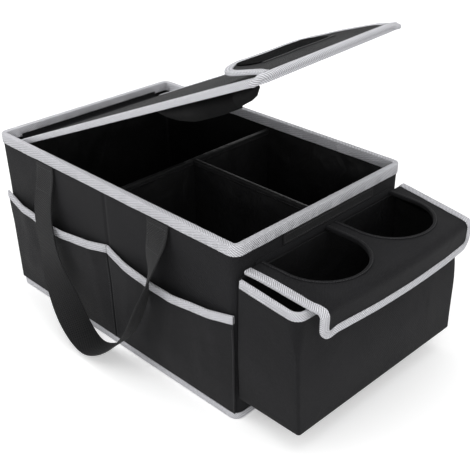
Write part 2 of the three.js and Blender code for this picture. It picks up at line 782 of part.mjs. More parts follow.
// The pouch's binding runs along its rim from the wall round the front and back to the wall.
function makePouchBinding() {
  const rim = pouchRing(1, pouchCloth / 2, 0);
  const clearOfWall = halfLength + 2 * (seatGap + tapeThickness) + pouchCloth;
  const front = rim.filter((point) => point.x > halfLength + pouchDepthTop / 2);
  const ends = [front[0], front[front.length - 1]].map((point) => new THREE.Vector2(clearOfWall, point.y));
  const route = [ends[0], ...front, ends[1]];
  const stations = route.map((point, index) => {
    const before = route[Math.max(index - 1, 0)];
    const after = route[Math.min(index + 1, route.length - 1)];
    const onward = new THREE.Vector3(
      after.x - before.x, after.y - before.y, pouchRimHeight(after.x) - pouchRimHeight(before.x),
    ).normalize();
    const up = new THREE.Vector3(onward.y, -onward.x, 0).normalize();
    const across = new THREE.Vector3().crossVectors(onward, up).negate();
    return { at: new THREE.Vector3(point.x, point.y, pouchRimHeight(point.x)), across, up };
  });
  return named('pouch_binding', sweep(tapeSection(pouchCloth, slimReach), stations), grey);
}

// Cup cover: a stiff panel with two cup openings that run back to the wall, and a lip that folds
// down over the pouch's front. Its own group turns about the seam on the end wall.
function makeCupCover() {
  const cover = new THREE.Group();
  const tapeFace = halfLength + seatGap + patchThickness;
  const axisX = tapeFace + seatGap + coverThickness / 2 + coverHingeGap;
  const root = -(coverThickness + coverHingeGap) / 2;
  cover.position.set(axisX, 0, coverHeight);
  const edge = seatGap + tapeThickness;
  const tipHalf = coverTipWidth / 2 - edge;
  const flat = coverDepth - coverFoldRadius;
  const bend = coverFoldRadius * Math.PI / 2;
  const reach = (across) => {
    const side = across / tipHalf;
    return coverBow * (1 - side ** 2) + frontSkew / 2 * side;
  };
  const surface = (across, along) => {
    const push = reach(across) * THREE.MathUtils.clamp(along / flat, 0, 1);
    if (along <= flat) {
      return new THREE.Vector3(along + push, across, 0);
    }
    const turn = Math.min((along - flat) / coverFoldRadius, Math.PI / 2);
    const x = flat + coverFoldRadius * Math.sin(turn) + push;
    const z = -coverFoldRadius * (1 - Math.cos(turn)) - Math.max(along - flat - bend, 0);
    return new THREE.Vector3(x, across, z);
  };
  const lipEnd = flat + bend + coverLipHeight - coverFoldRadius - edge;
  const turnStart = lipEnd - coverLipCorner;
  const arcSteps = 4;
  const alongs = [root, flat / 2, flat];
  for (let step = 1; step <= arcSteps; step += 1) {
    alongs.push(flat + bend * step / arcSteps);
  }
  const plain = alongs.filter((along) => along < turnStart - seatGap);
  const rows = plain.map((along) => {
    const share = THREE.MathUtils.clamp(along / flat, 0, 1);
    const half = THREE.MathUtils.lerp(coverRootWidth / 2 - edge, tipHalf, share);
    return { along, half, centre: THREE.MathUtils.lerp(coverRootShift, coverTipShift, share) };
  });
  for (let step = 0; step <= arcSteps; step += 1) {
    const turn = Math.PI / 2 * step / arcSteps;
    const along = turnStart + coverLipCorner * Math.sin(turn);
    const half = tipHalf - coverLipCorner * (1 - Math.cos(turn));
    rows.push({ along, half, centre: coverTipShift });
  }
  const columns = 10;
  let solid = toSolid(sheet(surface, rows, columns, coverThickness));
  const edgings = [];
  for (const [side, sign] of [['near', -1], ['far', 1]]) {
    const centre = cupShift + sign * cupSpacing / 2;
    solid = solid.subtract(toSolid(cupCutter(centre, root, edge)));
    edgings.push(makeCupEdging(`cup_edging_${side}`, centre, root + 2 * seatGap, edge));
  }
  const size = { corner: coverLipCorner, depth: lipEnd };
  const lipMiddle = Array.from({ length: columns - 1 }, (_, column) => {
    const straight = tipHalf - coverLipCorner;
    return [coverTipShift + straight * (2 * (column + 1) / columns - 1), lipEnd, 0, 1];
  });
  const path = roundedPath(rows, size);
  path.splice(path.length / 2, 0, ...lipMiddle);
  const bound = binding(surface, path, coverThickness, slimReach);
  cover.add(
    named('cup_cover', toGeometry(solid), black),
    named('cup_cover_binding', bound, grey),
    ...edgings,
  );
  return cover;
}

// U-shaped hole outline for one cup, `grow` outside the finished opening.
function cupOutline(centre, root, grow) {
  const radius = cupRadius + grow;
  const middle = cupReach - cupRadius;
  const points = [];
  const segments = 14;
  points.push([root, centre - radius], [middle / 2, centre - radius]);
  for (let step = 0; step <= segments; step += 1) {
    const turn = -Math.PI / 2 + Math.PI * step / segments;
    points.push([middle + radius * Math.cos(turn), centre + radius * Math.sin(turn)]);
  }
  points.push([middle / 2, centre + radius], [root, centre + radius]);
  return points;
}

function cupCutter(centre, root, grow) {
  const behind = root - coverThickness;
  const points = cupOutline(centre, behind, grow).map(([x, y]) => new THREE.Vector2(x, y));
  const cutter = plate(new THREE.Shape(points), 4 * coverThickness);
  cutter.translate(0, 0, -2 * coverThickness);
  return cutter;
}

function makeCupEdging(name, centre, root, grow) {
  const route = cupOutline(centre, root, grow).map(([x, y]) => new THREE.Vector3(x, y, 0));
  const stations = route.map((point, index) => {
    const before = route[Math.max(index - 1, 0)];
    const after = route[Math.min(index + 1, route.length - 1)];
    const onward = after.clone().sub(before).normalize();
    const inward = new THREE.Vector3(-onward.y, onward.x, 0);
    return { at: point, across: inward, up: new THREE.Vector3(0, 0, 1) };
  });
  return named(name, sweep(tapeSection(coverThickness, cupEdgeReach), stations), black);
}

const organizer = new THREE.Group();
organizer.name = 'back_seat_organizer';
organizer.add(...makeBase(), ...makeWalls(), ...makeWallBoards(), ...makeBoxBindings(), ...makeDividers());
for (const [side, sign] of [['near', -1], ['far', 1]]) {
  for (const [end, endSign] of [['left', -1], ['right', 1]]) {
    organizer.add(...makePocket(side, sign, end, endSign));
  }
  organizer.add(makeHandle(`${side}_handle`, sign));
}
organizer.add(...makeEndWallFittings(), makeLid(), ...makePouch(), makeCupCover());

export default organizer;
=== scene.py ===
import math

import bmesh
import bpy
import numpy as np
from mathutils import Matrix, Vector, geometry, noise


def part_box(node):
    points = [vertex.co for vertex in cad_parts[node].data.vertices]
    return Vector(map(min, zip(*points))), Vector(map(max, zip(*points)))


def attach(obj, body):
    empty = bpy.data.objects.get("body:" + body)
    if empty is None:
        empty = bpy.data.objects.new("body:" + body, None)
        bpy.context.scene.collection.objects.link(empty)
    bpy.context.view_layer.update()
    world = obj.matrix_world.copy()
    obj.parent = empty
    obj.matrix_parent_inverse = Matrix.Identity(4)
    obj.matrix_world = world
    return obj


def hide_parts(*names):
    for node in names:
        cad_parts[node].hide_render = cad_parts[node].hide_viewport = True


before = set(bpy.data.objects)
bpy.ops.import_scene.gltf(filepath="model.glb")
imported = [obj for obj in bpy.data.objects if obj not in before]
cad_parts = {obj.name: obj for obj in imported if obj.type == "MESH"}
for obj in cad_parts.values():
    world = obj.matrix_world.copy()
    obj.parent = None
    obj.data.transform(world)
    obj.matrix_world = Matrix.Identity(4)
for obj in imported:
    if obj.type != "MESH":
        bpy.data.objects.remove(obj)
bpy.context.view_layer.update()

gap = 0.0003  # room between two touching pieces
tapeThick = 0.0008
clothThick = 0.0012
edgeRoom = gap + tapeThick  # how far a tape stands off the edge that it covers

wallLow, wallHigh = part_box("near_wall")
box = {
    "halfLength": -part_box("left_wall")[0].x,
    "halfWidth": -wallLow.y,
    "bottom": wallLow.z,
    "top": wallHigh.z,
    "rimLower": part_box("rim_binding")[0].z,
    "corner": 0.01,
    "wall": 0.005,
    "floor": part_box("base_board")[1].z,
}


def vec(*values):
    return np.array(values, float)


def unit(v):
    return v / np.linalg.norm(v)


def lerp(a, b, share):
    return a + (b - a) * share


def clamp(value, low=0.0, high=1.0):
    return min(max(value, low), high)


def smoothStep(value, low, high):
    share = clamp((value - low) / (high - low))
    return share * share * (3 - 2 * share)


# Smooth repeatable noise, about -1 to 1. A place is multiplied by a pitch: how often it varies in a metre.
def wave(*place):
    return noise.noise(Vector(place))


# Distance along a line from its first point to each of its points.
def runLengths(points):
    return np.concatenate([[0], np.cumsum(np.linalg.norm(np.diff(points, axis=0), axis=1))])


def pointAt(where, run, points):
    return vec(*[np.interp(where, run, points[:, axis]) for axis in range(3)])


# Direction of a line at one of its points, from the points on either side.
def courseAt(line, index):
    return unit(line[min(index + 1, len(line) - 1)] - line[max(index - 1, 0)])


# Half length of a rounded rectangle at a place across it.
def roundedReach(across, halfLength, halfWidth, corner):
    past = max(abs(across) - halfWidth + corner, 0.0)
    return halfLength - corner + math.sqrt(max(corner ** 2 - past ** 2, 0.0))


# Mesh from points and faces, with a pair of UV lengths for each face corner.
def makePiece(name, points, faces, uvs=None):
    mesh = bpy.data.meshes.new(name)
    mesh.from_pydata([tuple(point) for point in points], [], faces)
    if uvs is not None:
        layer = mesh.uv_layers.new(name="UVMap")
        layer.data.foreach_set("uv", np.asarray(uvs, np.float32).ravel())
    mesh.update()
    piece = bpy.data.objects.new(name, mesh)
    bpy.context.scene.collection.objects.link(piece)
    return piece


# Sheet through rows of points; wrap joins the end of each row to its start.
def gridPiece(name, rows, wrap=False):
    rows = np.asarray(rows, float)
    lines, count = rows.shape[:2]
    spread = np.concatenate([rows, rows[:, :1]], axis=1) if wrap else rows
    along = np.zeros(spread.shape[:2])
    along[:, 1:] = np.cumsum(np.linalg.norm(np.diff(spread, axis=1), axis=2), axis=1)
    down = np.zeros(spread.shape[:2])
    down[1:] = np.cumsum(np.linalg.norm(np.diff(spread, axis=0), axis=2), axis=0)
    if not wrap:
        along -= along[:, -1:] / 2
    faces, uvs = [], []
    for line in range(lines - 1):
        for step in range(spread.shape[1] - 1):
            corners = [(line, step), (line, step + 1), (line + 1, step + 1), (line + 1, step)]
            faces.append([r * count + c % count for r, c in corners])
            uvs.extend((along[r, c], down[r, c]) for r, c in corners)
    return makePiece(name, rows.reshape(-1, 3), faces, uvs)


def thicken(piece, thickness):
    solidify = piece.modifiers.new("thickness", "SOLIDIFY")
    solidify.thickness = thickness
    solidify.offset = 0
    graph = bpy.context.evaluated_depsgraph_get()
    baked = bpy.data.meshes.new_from_object(piece.evaluated_get(graph))
    piece.modifiers.clear()
    piece.data = baked
    baked.name = piece.name


# Faces turned outward, smooth apart from edges sharper than the angle.
def smoothFaces(piece, angle=42):
    mesh = piece.data
    work = bmesh.new()
    work.from_mesh(mesh)
    bmesh.ops.recalc_face_normals(work, faces=work.faces)
    work.to_mesh(mesh)
    work.free()
    mesh.shade_smooth()
    mesh.set_sharp_from_angle(angle=math.radians(angle))


# Cloth of some thickness whose middle runs through rows of points.
def clothPiece(name, rows, thickness, wrap=False, angle=42):
    piece = gridPiece(name, rows, wrap)
    thicken(piece, thickness)
    smoothFaces(piece, angle)
    return piece


# Nap of hook and loop: each point moves along its normal by smooth noise.
def ruffle(piece, height, size, seed):
    mesh = piece.data
    moved = []
    for vertex in mesh.vertices:
        push = wave(*[value / size + seed for value in vertex.co])
        moved.append(vertex.co + vertex.normal * height * push)
    for vertex, spot in zip(mesh.vertices, moved):
        vertex.co = spot
    mesh.update()


def place(piece, matrix):
    piece.data.transform(matrix)


# Closed section swept along stations of (point, across, up); sections may change from one to the next.
def sweepPiece(name, stations, sections, loop=False):
    count = len(sections[0])
    rings = np.array([
        [at + across * x + up * y for x, y in section]
        for (at, across, up), section in zip(stations, sections)
    ])
    run = [at for at, _, _ in stations]
    along = runLengths(run + run[:1])
    around = runLengths([*sections[0], sections[0][0]])
    faces, uvs = [], []
    spans = len(rings) if loop else len(rings) - 1
    for ring in range(spans):
        for corner in range(count):
            corners = [(ring, corner), (ring, corner + 1), (ring + 1, corner + 1), (ring + 1, corner)]
            faces.append([(r % len(rings)) * count + c % count for r, c in corners])
            uvs.extend((along[r], around[c]) for r, c in corners)
    if not loop:
        for ring in (0, len(rings) - 1):
            faces.append([ring * count + corner for corner in range(count)])
            uvs.extend((along[ring], around[corner]) for corner in range(count))
    return makePiece(name, rings.reshape(-1, 3), faces, uvs)


# Route round the box at a distance outside its cloth: evenly spaced (point, outward direction).
def boxRoute(outset, spacing, closeAt=None):
    halfLength = box["halfLength"] + outset
    halfWidth = box["halfWidth"] + outset
    radius = box["corner"] + outset
    straightX, straightY = halfLength - radius, halfWidth - radius
    turns = 7
    route = []
    sides = [
        (vec(0, -halfWidth), vec(1, 0), straightX), (vec(halfLength, 0), vec(0, 1), straightY),
        (vec(0, halfWidth), vec(-1, 0), straightX), (vec(-halfLength, 0), vec(0, -1), straightY),
    ]
    for side, (middle, onward, reach) in enumerate(sides):
        off = vec(onward[1], -onward[0])
        places = list(np.linspace(-reach, reach, max(2, round(2 * reach / spacing))))
        if closeAt and side % 2 == 0:
            places = sorted(places + [closeAt * step for step in range(-4, 5)])
        route += [(middle + onward * where, off) for where in places]
        centre = middle + onward * reach - off * radius
        for step in range(1, turns):
            turn = math.pi / 2 * step / turns
            outward = off * math.cos(turn) + onward * math.sin(turn)
            route.append((centre + outward * radius, outward))
    return route


tapeShape = {
    "lip": 0.0004, "turnedIn": 0.4, "leastFull": 0.0001, "noseSteps": 8, "noseRound": 0.6,
    "wander": 0.0004, "wanderPitch": 40, "puff": 0.00012, "puffPitch": 90, "seamInset": 0.0016,
    "ribSpacing": 0.0011, "scallop": 0.00028, "ridge": 0.00009, "pressed": 0.5,
}


# Folded tape: a U round an edge of something thick, with a soft round nose; x points off the edge.
def tapeOutline(thick, reach, puff=0.0):
    inside = thick / 2 + gap
    outside = inside + tapeThick + max(puff, tapeShape["leastFull"] - gap)
    lip, turnedIn = min(tapeShape["lip"], reach / 4), tapeShape["turnedIn"] * tapeThick
    steps, power = tapeShape["noseSteps"], tapeShape["noseRound"]
    points = [(-reach, inside), (-reach, inside + turnedIn), (-reach + lip, outside)]
    for step in range(steps + 1):
        turn = math.pi / 2 - math.pi * step / steps
        x = edgeRoom * abs(math.cos(turn)) ** power
        y = outside * abs(math.sin(turn)) ** power * (1 if turn > 0 else -1)
        points.append((x, y if step != steps // 2 else 0.0))
    points += [(-reach + lip, -outside), (-reach, -inside - turnedIn), (-reach, -inside)]
    return points + [(gap, -inside), (gap, inside)]


# The same stations at rib spacing, an even number of them.
def ribStations(stations, loop):
    ends = stations[1:] + stations[:1] if loop else stations[1:]
    dense = []
    for first, second in zip(stations, ends):
        parts = 2 * max(1, round(np.linalg.norm(second[0] - first[0]) / (2 * tapeShape["ribSpacing"])))
        for step in range(parts):
            at, across, up = (lerp(a, b, step / parts) for a, b in zip(first, second))
            dense.append((at, unit(across), unit(up)))
    return dense if loop else dense + [stations[-1]]


# Ribbed tape along stations: its edge is finely scalloped, and its reach and fullness wander a little.
# Over the length of a pinch its ends are pressed flat.
def tapePiece(name, stations, thick, reach, seed, loop=False, wander=tapeShape["wander"], pinch=0.0):
    sections = []
    stations = ribStations(stations, loop)
    run = runLengths([at for at, _, _ in stations])
    for index, (at, _, _) in enumerate(stations):
        rib = 1 if index % 2 else -1
        drift = wander * wave(*(at * tapeShape["wanderPitch"] + vec(0, 0, seed)))
        puff = tapeShape["puff"] * wave(*(at * tapeShape["puffPitch"] + vec(seed, 0, 0)))
        edge = reach + drift + tapeShape["scallop"] * rib
        outline = tapeOutline(thick, edge, puff + tapeShape["ridge"] * rib)
        toEnd = min(run[index], run[-1] - run[index])
        full = lerp(tapeShape["pressed"], 1, smoothStep(toEnd, 0.0, pinch)) if pinch else 1.0
        sections.append([(x, y * full) for x, y in outline])
    piece = sweepPiece(name, stations, sections, loop)
    smoothFaces(piece, 50)
    return piece


stitch = {
    "pitch": 0.0034, "length": 0.0024, "radius": 0.00028, "sides": 6,
    "rings": ((0.0, 0.25), (0.2, 0.9), (0.8, 0.9), (1.0, 0.25)),  # shares of the length and the radius
}


# Seam of small thread stitches along lines of (point, normal).
def stitchPiece(name, lines):
    points, faces = [], []
    pitch, sides, rings = stitch["pitch"], stitch["sides"], stitch["rings"]
    for line in lines:
        spots = np.array([spot for spot, _ in line])
        normals = np.array([normal for _, normal in line])
        run = runLengths(spots)
        for centre in np.arange(pitch / 2, run[-1] - pitch / 2, pitch):
            start = pointAt(centre - stitch["length"] / 2, run, spots)
            end = pointAt(centre + stitch["length"] / 2, run, spots)
            up = unit(pointAt(centre, run, normals))
            side = np.cross(unit(end - start), up)
            first = len(points)
            for share, size in rings:
                for step in range(sides):
                    turn = 2 * math.pi * step / sides
                    spoke = side * math.cos(turn) + up * math.sin(turn)
                    points.append(lerp(start, end, share) + spoke * stitch["radius"] * size)
            for ring in range(len(rings) - 1):
                for step in range(sides):
                    a = first + ring * sides + step
                    b = first + ring * sides + (step + 1) % sides
                    faces.append([a, b, b + sides, a + sides])
            faces.append([first + step for step in range(sides)])
            faces.append([first + (len(rings) - 1) * sides + step for step in range(sides)])
    piece = makePiece(name, points, faces)
    smoothFaces(piece, 80)
    return piece


# Stitch line on one face of a tape, at a distance from its open edge.
def tapeSeam(stations, thick, reach, side, inset=tapeShape["seamInset"], loop=False):
    outside = thick / 2 + gap + tapeThick
    line = [(at + across * (inset - reach) + up * side * outside, up * side) for at, across, up in stations]
    return line + line[:1] if loop else line


def slopes(surface, across, along):
    step = 0.00005
    sideways = unit(surface(across + step, along) - surface(across - step, along))
    onward = unit(surface(across, along + step) - surface(across, along - step))
    return sideways, onward


# Stations along an edge of a surface; the path holds across, along, and the direction off the edge.
def edgeStations(surface, path, spacing=0.005):
    dense = []
    for first, second in zip(path, path[1:]):
        first, second = vec(*first), vec(*second)
        pieces = max(1, round(np.linalg.norm((second - first)[:2]) / spacing))
        dense += [lerp(first, second, step / pieces) for step in range(pieces)]
    dense.append(vec(*path[-1]))
    stations = []
    for across, along, offAcross, offAlong in dense:
        sideways, onward = slopes(surface, across, along)
        off = unit(sideways * offAcross + onward * offAlong)
        stations.append((surface(across, along), off, unit(np.cross(sideways, onward))))
    return stations


def cornerTurn(along, depth, corner):
    return math.asin(clamp((along - depth + corner) / corner))


# Rows of a panel with a straight root and rounded free corners: (along, low side, high side).
def panelRows(panel, plain, arc):
    depth, corner, shift = panel["depth"], panel["corner"], panel.get("shift", 0.0)
    farCorner = panel.get("farCorner", corner)
    widest = max(corner, farCorner)
    alongs = [lerp(panel["root"], depth - widest, step / plain) for step in range(plain)]
    for radius in (corner, farCorner):
        alongs += [depth - radius + radius * math.sin(math.pi / 2 * step / arc) for step in range(arc + 1)]
    rows = []
    for along in sorted(set(round(value, 7) for value in alongs)):
        half = lerp(panel["rootWidth"], panel["tipWidth"], along / depth) / 2
        low = shift - half + corner * (1 - math.cos(cornerTurn(along, depth, corner)))
        high = shift + half - farCorner * (1 - math.cos(cornerTurn(along, depth, farCorner)))
        rows.append((along, low, high))
    return rows


def panelEdge(panel, rows):
    depth, corner = panel["depth"], panel["corner"]
    farCorner = panel.get("farCorner", corner)
    path = []
    for along, low, _ in rows:
        turn = cornerTurn(along, depth, corner)
        path.append((low, along, -math.cos(turn), math.sin(turn)))
    for along, _, high in reversed(rows):
        turn = cornerTurn(along, depth, farCorner)
        path.append((high, along, math.cos(turn), math.sin(turn)))
    return path


def panelGrid(surface, rows, columns):
    return [
        [surface(lerp(low, high, step / columns), along) for step in range(columns + 1)]
        for along, low, high in rows
    ]


def addNode(tree, kind, inputs=None, **settings):
    made = tree.nodes.new("ShaderNode" + kind)
    for key, value in settings.items():
        setattr(made, key, value)
    for key, value in (inputs or {}).items():
        if isinstance(value, bpy.types.NodeSocket):
            tree.links.new(value, made.inputs[key])
        else:
            made.inputs[key].default_value = value
    return made


def reckon(tree, operation, first, second=0.0):
    return addNode(tree, "Math", {0: first, 1: second}, operation=operation).outputs[0]


def colourMix(tree, share, first, second):
    mixed = addNode(tree, "Mix", data_type="RGBA")
    for socket, value in ((0, share), (6, first), (7, second)):
        if isinstance(value, bpy.types.NodeSocket):
            tree.links.new(value, mixed.inputs[socket])
        else:
            mixed.inputs[socket].default_value = value if socket == 0 else (*value, 1.0)
    return mixed.outputs[2]


def threadWave(tree, coordinate, turns):
    return reckon(tree, "SINE", reckon(tree, "MULTIPLY", coordinate, turns))


# Height of the threads from 0 to 1, by weave; UV lengths are metres.
def threadHeight(tree, look):
    spots = addNode(tree, "UVMap", uv_map="UVMap").outputs[0]
    parts = addNode(tree, "SeparateXYZ", {0: spots})
    along, around = parts.outputs[0], parts.outputs[1]
    turns = 2 * math.pi * look["threads"]
    if look["weave"] == "plain":
        woven = reckon(tree, "MULTIPLY", threadWave(tree, along, turns), threadWave(tree, around, turns))
    elif look["weave"] == "twill":
        onward = reckon(tree, "MULTIPLY", along, turns)
        slanted = reckon(tree, "ADD", onward, reckon(tree, "MULTIPLY", around, turns * 0.8))
        fine = reckon(tree, "MULTIPLY", threadWave(tree, around, turns * 2.4), 0.3)
        woven = reckon(tree, "ADD", reckon(tree, "SINE", slanted), fine)
    else:
        picks = reckon(tree, "MULTIPLY", threadWave(tree, along, turns * 1.6), 0.4)
        woven = reckon(tree, "ADD", threadWave(tree, around, turns), picks)
    return reckon(tree, "ADD", reckon(tree, "MULTIPLY", woven, 0.5), 0.5)


# Cloth finish: threads, fibre flecks, slow mottling, and soft creases in the surface.
def clothFinish(name, look):
    finish = bpy.data.materials.new(name)
    finish.use_nodes = True
    tree = finish.node_tree
    shader = tree.nodes["Principled BSDF"]
    where = addNode(tree, "TexCoord").outputs["Object"]
    mottle, flecks, creases = (
        addNode(tree, "TexNoise", {
            "Vector": where, "Scale": look[key], "Detail": detail, "Distortion": distortion,
        }).outputs[0]
        for key, detail, distortion in (("mottle", 4.0, 0.0), ("flecks", 2.0, 0.0), ("creases", 3.0, 0.6))
    )
    threads = threadHeight(tree, look)
    colour = colourMix(tree, threads, look["deep"], look["raised"])
    for field, low, high, most in ((mottle, 0.35, 0.65, look["uneven"]), (flecks, 0.45, 0.75, look["speck"])):
        share = addNode(tree, "MapRange", {0: field, 1: low, 2: high, 3: 0.0, 4: most}).outputs[0]
        colour = colourMix(tree, share, colour, look["pale"])
    rough = addNode(tree, "MapRange", {
        0: mottle, 1: 0.3, 2: 0.7, 3: look["rough"] - 0.06, 4: look["rough"] + 0.06,
    })
    below = {}
    layers = ((1.0, "creaseHeight", creases), (1.0, "threadHeight", threads), (0.5, "fuzz", flecks))
    for strength, key, field in layers:
        inputs = {"Strength": strength, "Distance": look[key], "Height": field, **below}
        below = {"Normal": addNode(tree, "Bump", inputs).outputs[0]}
    tree.links.new(colour, shader.inputs["Base Color"])
    tree.links.new(rough.outputs[0], shader.inputs["Roughness"])
    tree.links.new(below["Normal"], shader.inputs["Normal"])
    shader.inputs["Sheen Weight"].default_value = look["sheen"]
    shader.inputs["Sheen Roughness"].default_value = 0.45
    shader.inputs["Specular IOR Level"].default_value = look["gloss"]
    return finish


threadLook = {
    "weave": "ribbed", "threads": 2500, "threadHeight": 0.00004, "fuzz": 0.00002, "flecks": 2600,
    "mottle": 80, "uneven": 0.1, "speck": 0.1, "rough": 0.55, "sheen": 0.05, "gloss": 0.4,
    "creases": 90, "creaseHeight": 0.0001,
}


# The finishes; colours are linear, threads are counted in a metre.
finishes = {
    "outerCloth": {
        "weave": "plain", "threads": 520, "threadHeight": 0.0003, "fuzz": 0.00016, "flecks": 760,
        "deep": (0.0005, 0.0005, 0.0007), "raised": (0.0096, 0.0095, 0.0108), "pale": (0.028, 0.028, 0.031),
        "mottle": 16, "uneven": 0.18, "speck": 0.33, "rough": 0.76, "sheen": 0.025, "gloss": 0.14,
        "creases": 13, "creaseHeight": 0.0026,
    },
    "liningCloth": {
        "weave": "plain", "threads": 1100, "threadHeight": 0.00005, "fuzz": 0.00003, "flecks": 1800,
        "deep": (0.003, 0.003, 0.0032), "raised": (0.009, 0.009, 0.0095), "pale": (0.022, 0.022, 0.023),
        "mottle": 20, "uneven": 0.12, "speck": 0.12, "rough": 0.42, "sheen": 0.0, "gloss": 0.3,
        "creases": 30, "creaseHeight": 0.003,
    },
    # A darker copy of liningCloth: painted shade, for the cloth in the shadow under the lid's corner and for
    # the tape's side inside the pouch.
    "paintedShadeLining": {
        "weave": "plain", "threads": 700, "threadHeight": 0.00015, "fuzz": 0.00008, "flecks": 1200,
        "deep": (0.0005, 0.0005, 0.0006), "raised": (0.003, 0.003, 0.0033), "pale": (0.009, 0.009, 0.0095),
        "mottle": 30, "uneven": 0.12, "speck": 0.12, "rough": 0.66, "sheen": 0.0, "gloss": 0.1,
        "creases": 30, "creaseHeight": 0.0016,
    },
    "greyTape": {
        "weave": "twill", "threads": 430, "threadHeight": 0.0005, "fuzz": 0.0001, "flecks": 900,
        "deep": (0.3, 0.3, 0.32), "raised": (0.86, 0.86, 0.9), "pale": (0.88, 0.88, 0.92),
        "mottle": 40, "uneven": 0.1, "speck": 0.14, "rough": 0.8, "sheen": 0.06, "gloss": 0.2,
        "creases": 60, "creaseHeight": 0.0005,
    },
    "webbing": {
        "weave": "plain", "threads": 330, "threadHeight": 0.0007, "fuzz": 0.00012, "flecks": 900,
        "deep": (0.0003, 0.0003, 0.0004), "raised": (0.0145, 0.0145, 0.0155), "pale": (0.03, 0.03, 0.032),
        "mottle": 30, "uneven": 0.08, "speck": 0.18, "rough": 0.72, "sheen": 0.03, "gloss": 0.2,
        "creases": 20, "creaseHeight": 0.0003,
    },
    "hookLoop": {
        "weave": "plain", "threads": 620, "threadHeight": 0.0005, "fuzz": 0.0005, "flecks": 1100,
        "deep": (0.0005, 0.0005, 0.0005), "raised": (0.003, 0.003, 0.0033), "pale": (0.009, 0.009, 0.0095),
        "mottle": 50, "uneven": 0.12, "speck": 0.25, "rough": 0.92, "sheen": 0.0, "gloss": 0.03,
        "creases": 30, "creaseHeight": 0.0003,
    },
    "loopPile": {
        "weave": "plain", "threads": 520, "threadHeight": 0.0005, "fuzz": 0.0005, "flecks": 1000,
        "deep": (0.0012, 0.0012, 0.0013), "raised": (0.013, 0.013, 0.014), "pale": (0.036, 0.036, 0.038),
        "mottle": 50, "uneven": 0.14, "speck": 0.4, "rough": 0.88, "sheen": 0.04, "gloss": 0.12,
        "creases": 30, "creaseHeight": 0.0003,
    },
    "blackThread": {
        **threadLook,
        "deep": (0.012, 0.012, 0.013), "raised": (0.045, 0.045, 0.048), "pale": (0.08, 0.08, 0.083),
    },
    "greyThread": {
        **threadLook, "deep": (0.4, 0.4, 0.42), "raised": (0.72, 0.72, 0.75), "pale": (0.8, 0.8, 0.82),
    },
    "stiffBoard": {
        "weave": "plain", "threads": 300, "threadHeight": 0.00004, "fuzz": 0.0001, "flecks": 500,
        "deep": (0.12, 0.115, 0.1), "raised": (0.16, 0.15, 0.135), "pale": (0.24, 0.22, 0.19),
        "mottle": 60, "uneven": 0.3, "speck": 0.4, "rough": 0.85, "sheen": 0.0, "gloss": 0.2,
        "creases": 20, "creaseHeight": 0.0004,
    },
}
finish = {name: clothFinish(name, look) for name, look in finishes.items()}
print("finishes made")


# Gives a piece its finish and its body, and hides the imported solids that it stands for.
def fit(piece, body, slot, look, *nodes):
    piece.data.materials.clear()
    piece.data.materials.append(finish[look])
    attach(piece, body)
    if nodes:
        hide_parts(*nodes)
    return piece


# Grey tape over an edge, with stitches on its faces. The edge is its thickness, the tape's reach over it
# and a seed; leftOut counts the stations at each end that stay without stitches.
def bindEdge(
    name, stations, edge, body, node,
    move=Matrix(), facings=(1, -1), leftOut=0, seamName=None, loop=False, pinch=0.0,
):
    thick, reach, seed = edge
    tape = tapePiece(name + "_tape", stations, thick, reach, seed, loop=loop, pinch=pinch)
    sewn = stations[leftOut:len(stations) - leftOut]
    seams = [tapeSeam(sewn, thick, reach, facing, loop=loop) for facing in facings]
    stitches = stitchPiece((seamName or name) + "_stitches", seams)
    for piece, look, nodes in ((tape, "greyTape", [node]), (stitches, "greyThread", [])):
        place(piece, move)
        fit(piece, body, "grey_tape", look, *nodes)
    return tape


wallCloth = {
    "spacing": 0.005, "foldSpacing": 0.0016, "rows": 44, "foldDepth": 0.0011, "foldWidth": 0.0026,
    "undulation": 0.0007, "pitch": 18, "setIn": 0.6,
}


# The outer cloth of all four walls: one loop, with the fold groove down the middle of each long wall.
def makeWallCloth():
    undulation, pitch = wallCloth["undulation"], wallCloth["pitch"]
    route = boxRoute(-clothThick / 2, wallCloth["spacing"], closeAt=wallCloth["foldSpacing"])
    rows = []
    for height in np.linspace(box["bottom"], box["top"], wallCloth["rows"]):
        row = []
        for point, off in route:
            fold = wallCloth["foldDepth"] * math.exp(-(point[0] / wallCloth["foldWidth"]) ** 2) * off[1] ** 2
            lump = undulation * wave(point[0] * pitch, point[1] * pitch, height * pitch)
            spot = point - off * (fold + undulation * wallCloth["setIn"] - lump)
            row.append(vec(*spot, height))
        rows.append(row)
    piece = clothPiece("wall_cloth", rows, clothThick, wrap=True)
    fit(piece, "box", "outer_cloth", "outerCloth", "near_wall", "far_wall", "left_wall", "right_wall")


floorPad = {"corner": 0.008, "ripple": 0.0004, "pitch": 22, "seed": 3.1, "rows": 40, "columns": 60}


# Flat rounded rectangle of cloth or covered board, gridded so that it can ripple a little.
def makeRoundedPad(name, halfLength, halfWidth, corner, low, high, ripple):
    pitch, seed = floorPad["pitch"], floorPad["seed"]
    rows = []
    for y in np.linspace(-halfWidth, halfWidth, floorPad["rows"]):
        reach = roundedReach(y, halfLength, halfWidth, corner)
        rows.append([
            vec(x, y, (low + high) / 2 + ripple * wave(x * pitch, y * pitch, seed))
            for x in np.linspace(-reach, reach, floorPad["columns"])
        ])
    return clothPiece(name, rows, high - low)


def makeBase():
    under = makeRoundedPad(
        "underside_cloth", box["halfLength"], box["halfWidth"], box["corner"], 0.0, clothThick, 0.0,
    )
    fit(under, "box", "outer_cloth", "outerCloth", "base_cloth")
    low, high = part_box("base_board")
    board = makeRoundedPad("floor_pad", high.x, high.y, floorPad["corner"], low.z, high.z, floorPad["ripple"])
    fit(board, "box", "lining_cloth", "liningCloth", "base_board")


liningSkin = {
    "thick": 0.0008, "wrinkle": 0.0015, "size": 0.034, "rows": 56, "spacing": 0.005,
    "tightBelow": 0.008, "looseBelow": 0.04, "looseAbove": 0.03, "floorRise": 0.0004,
}


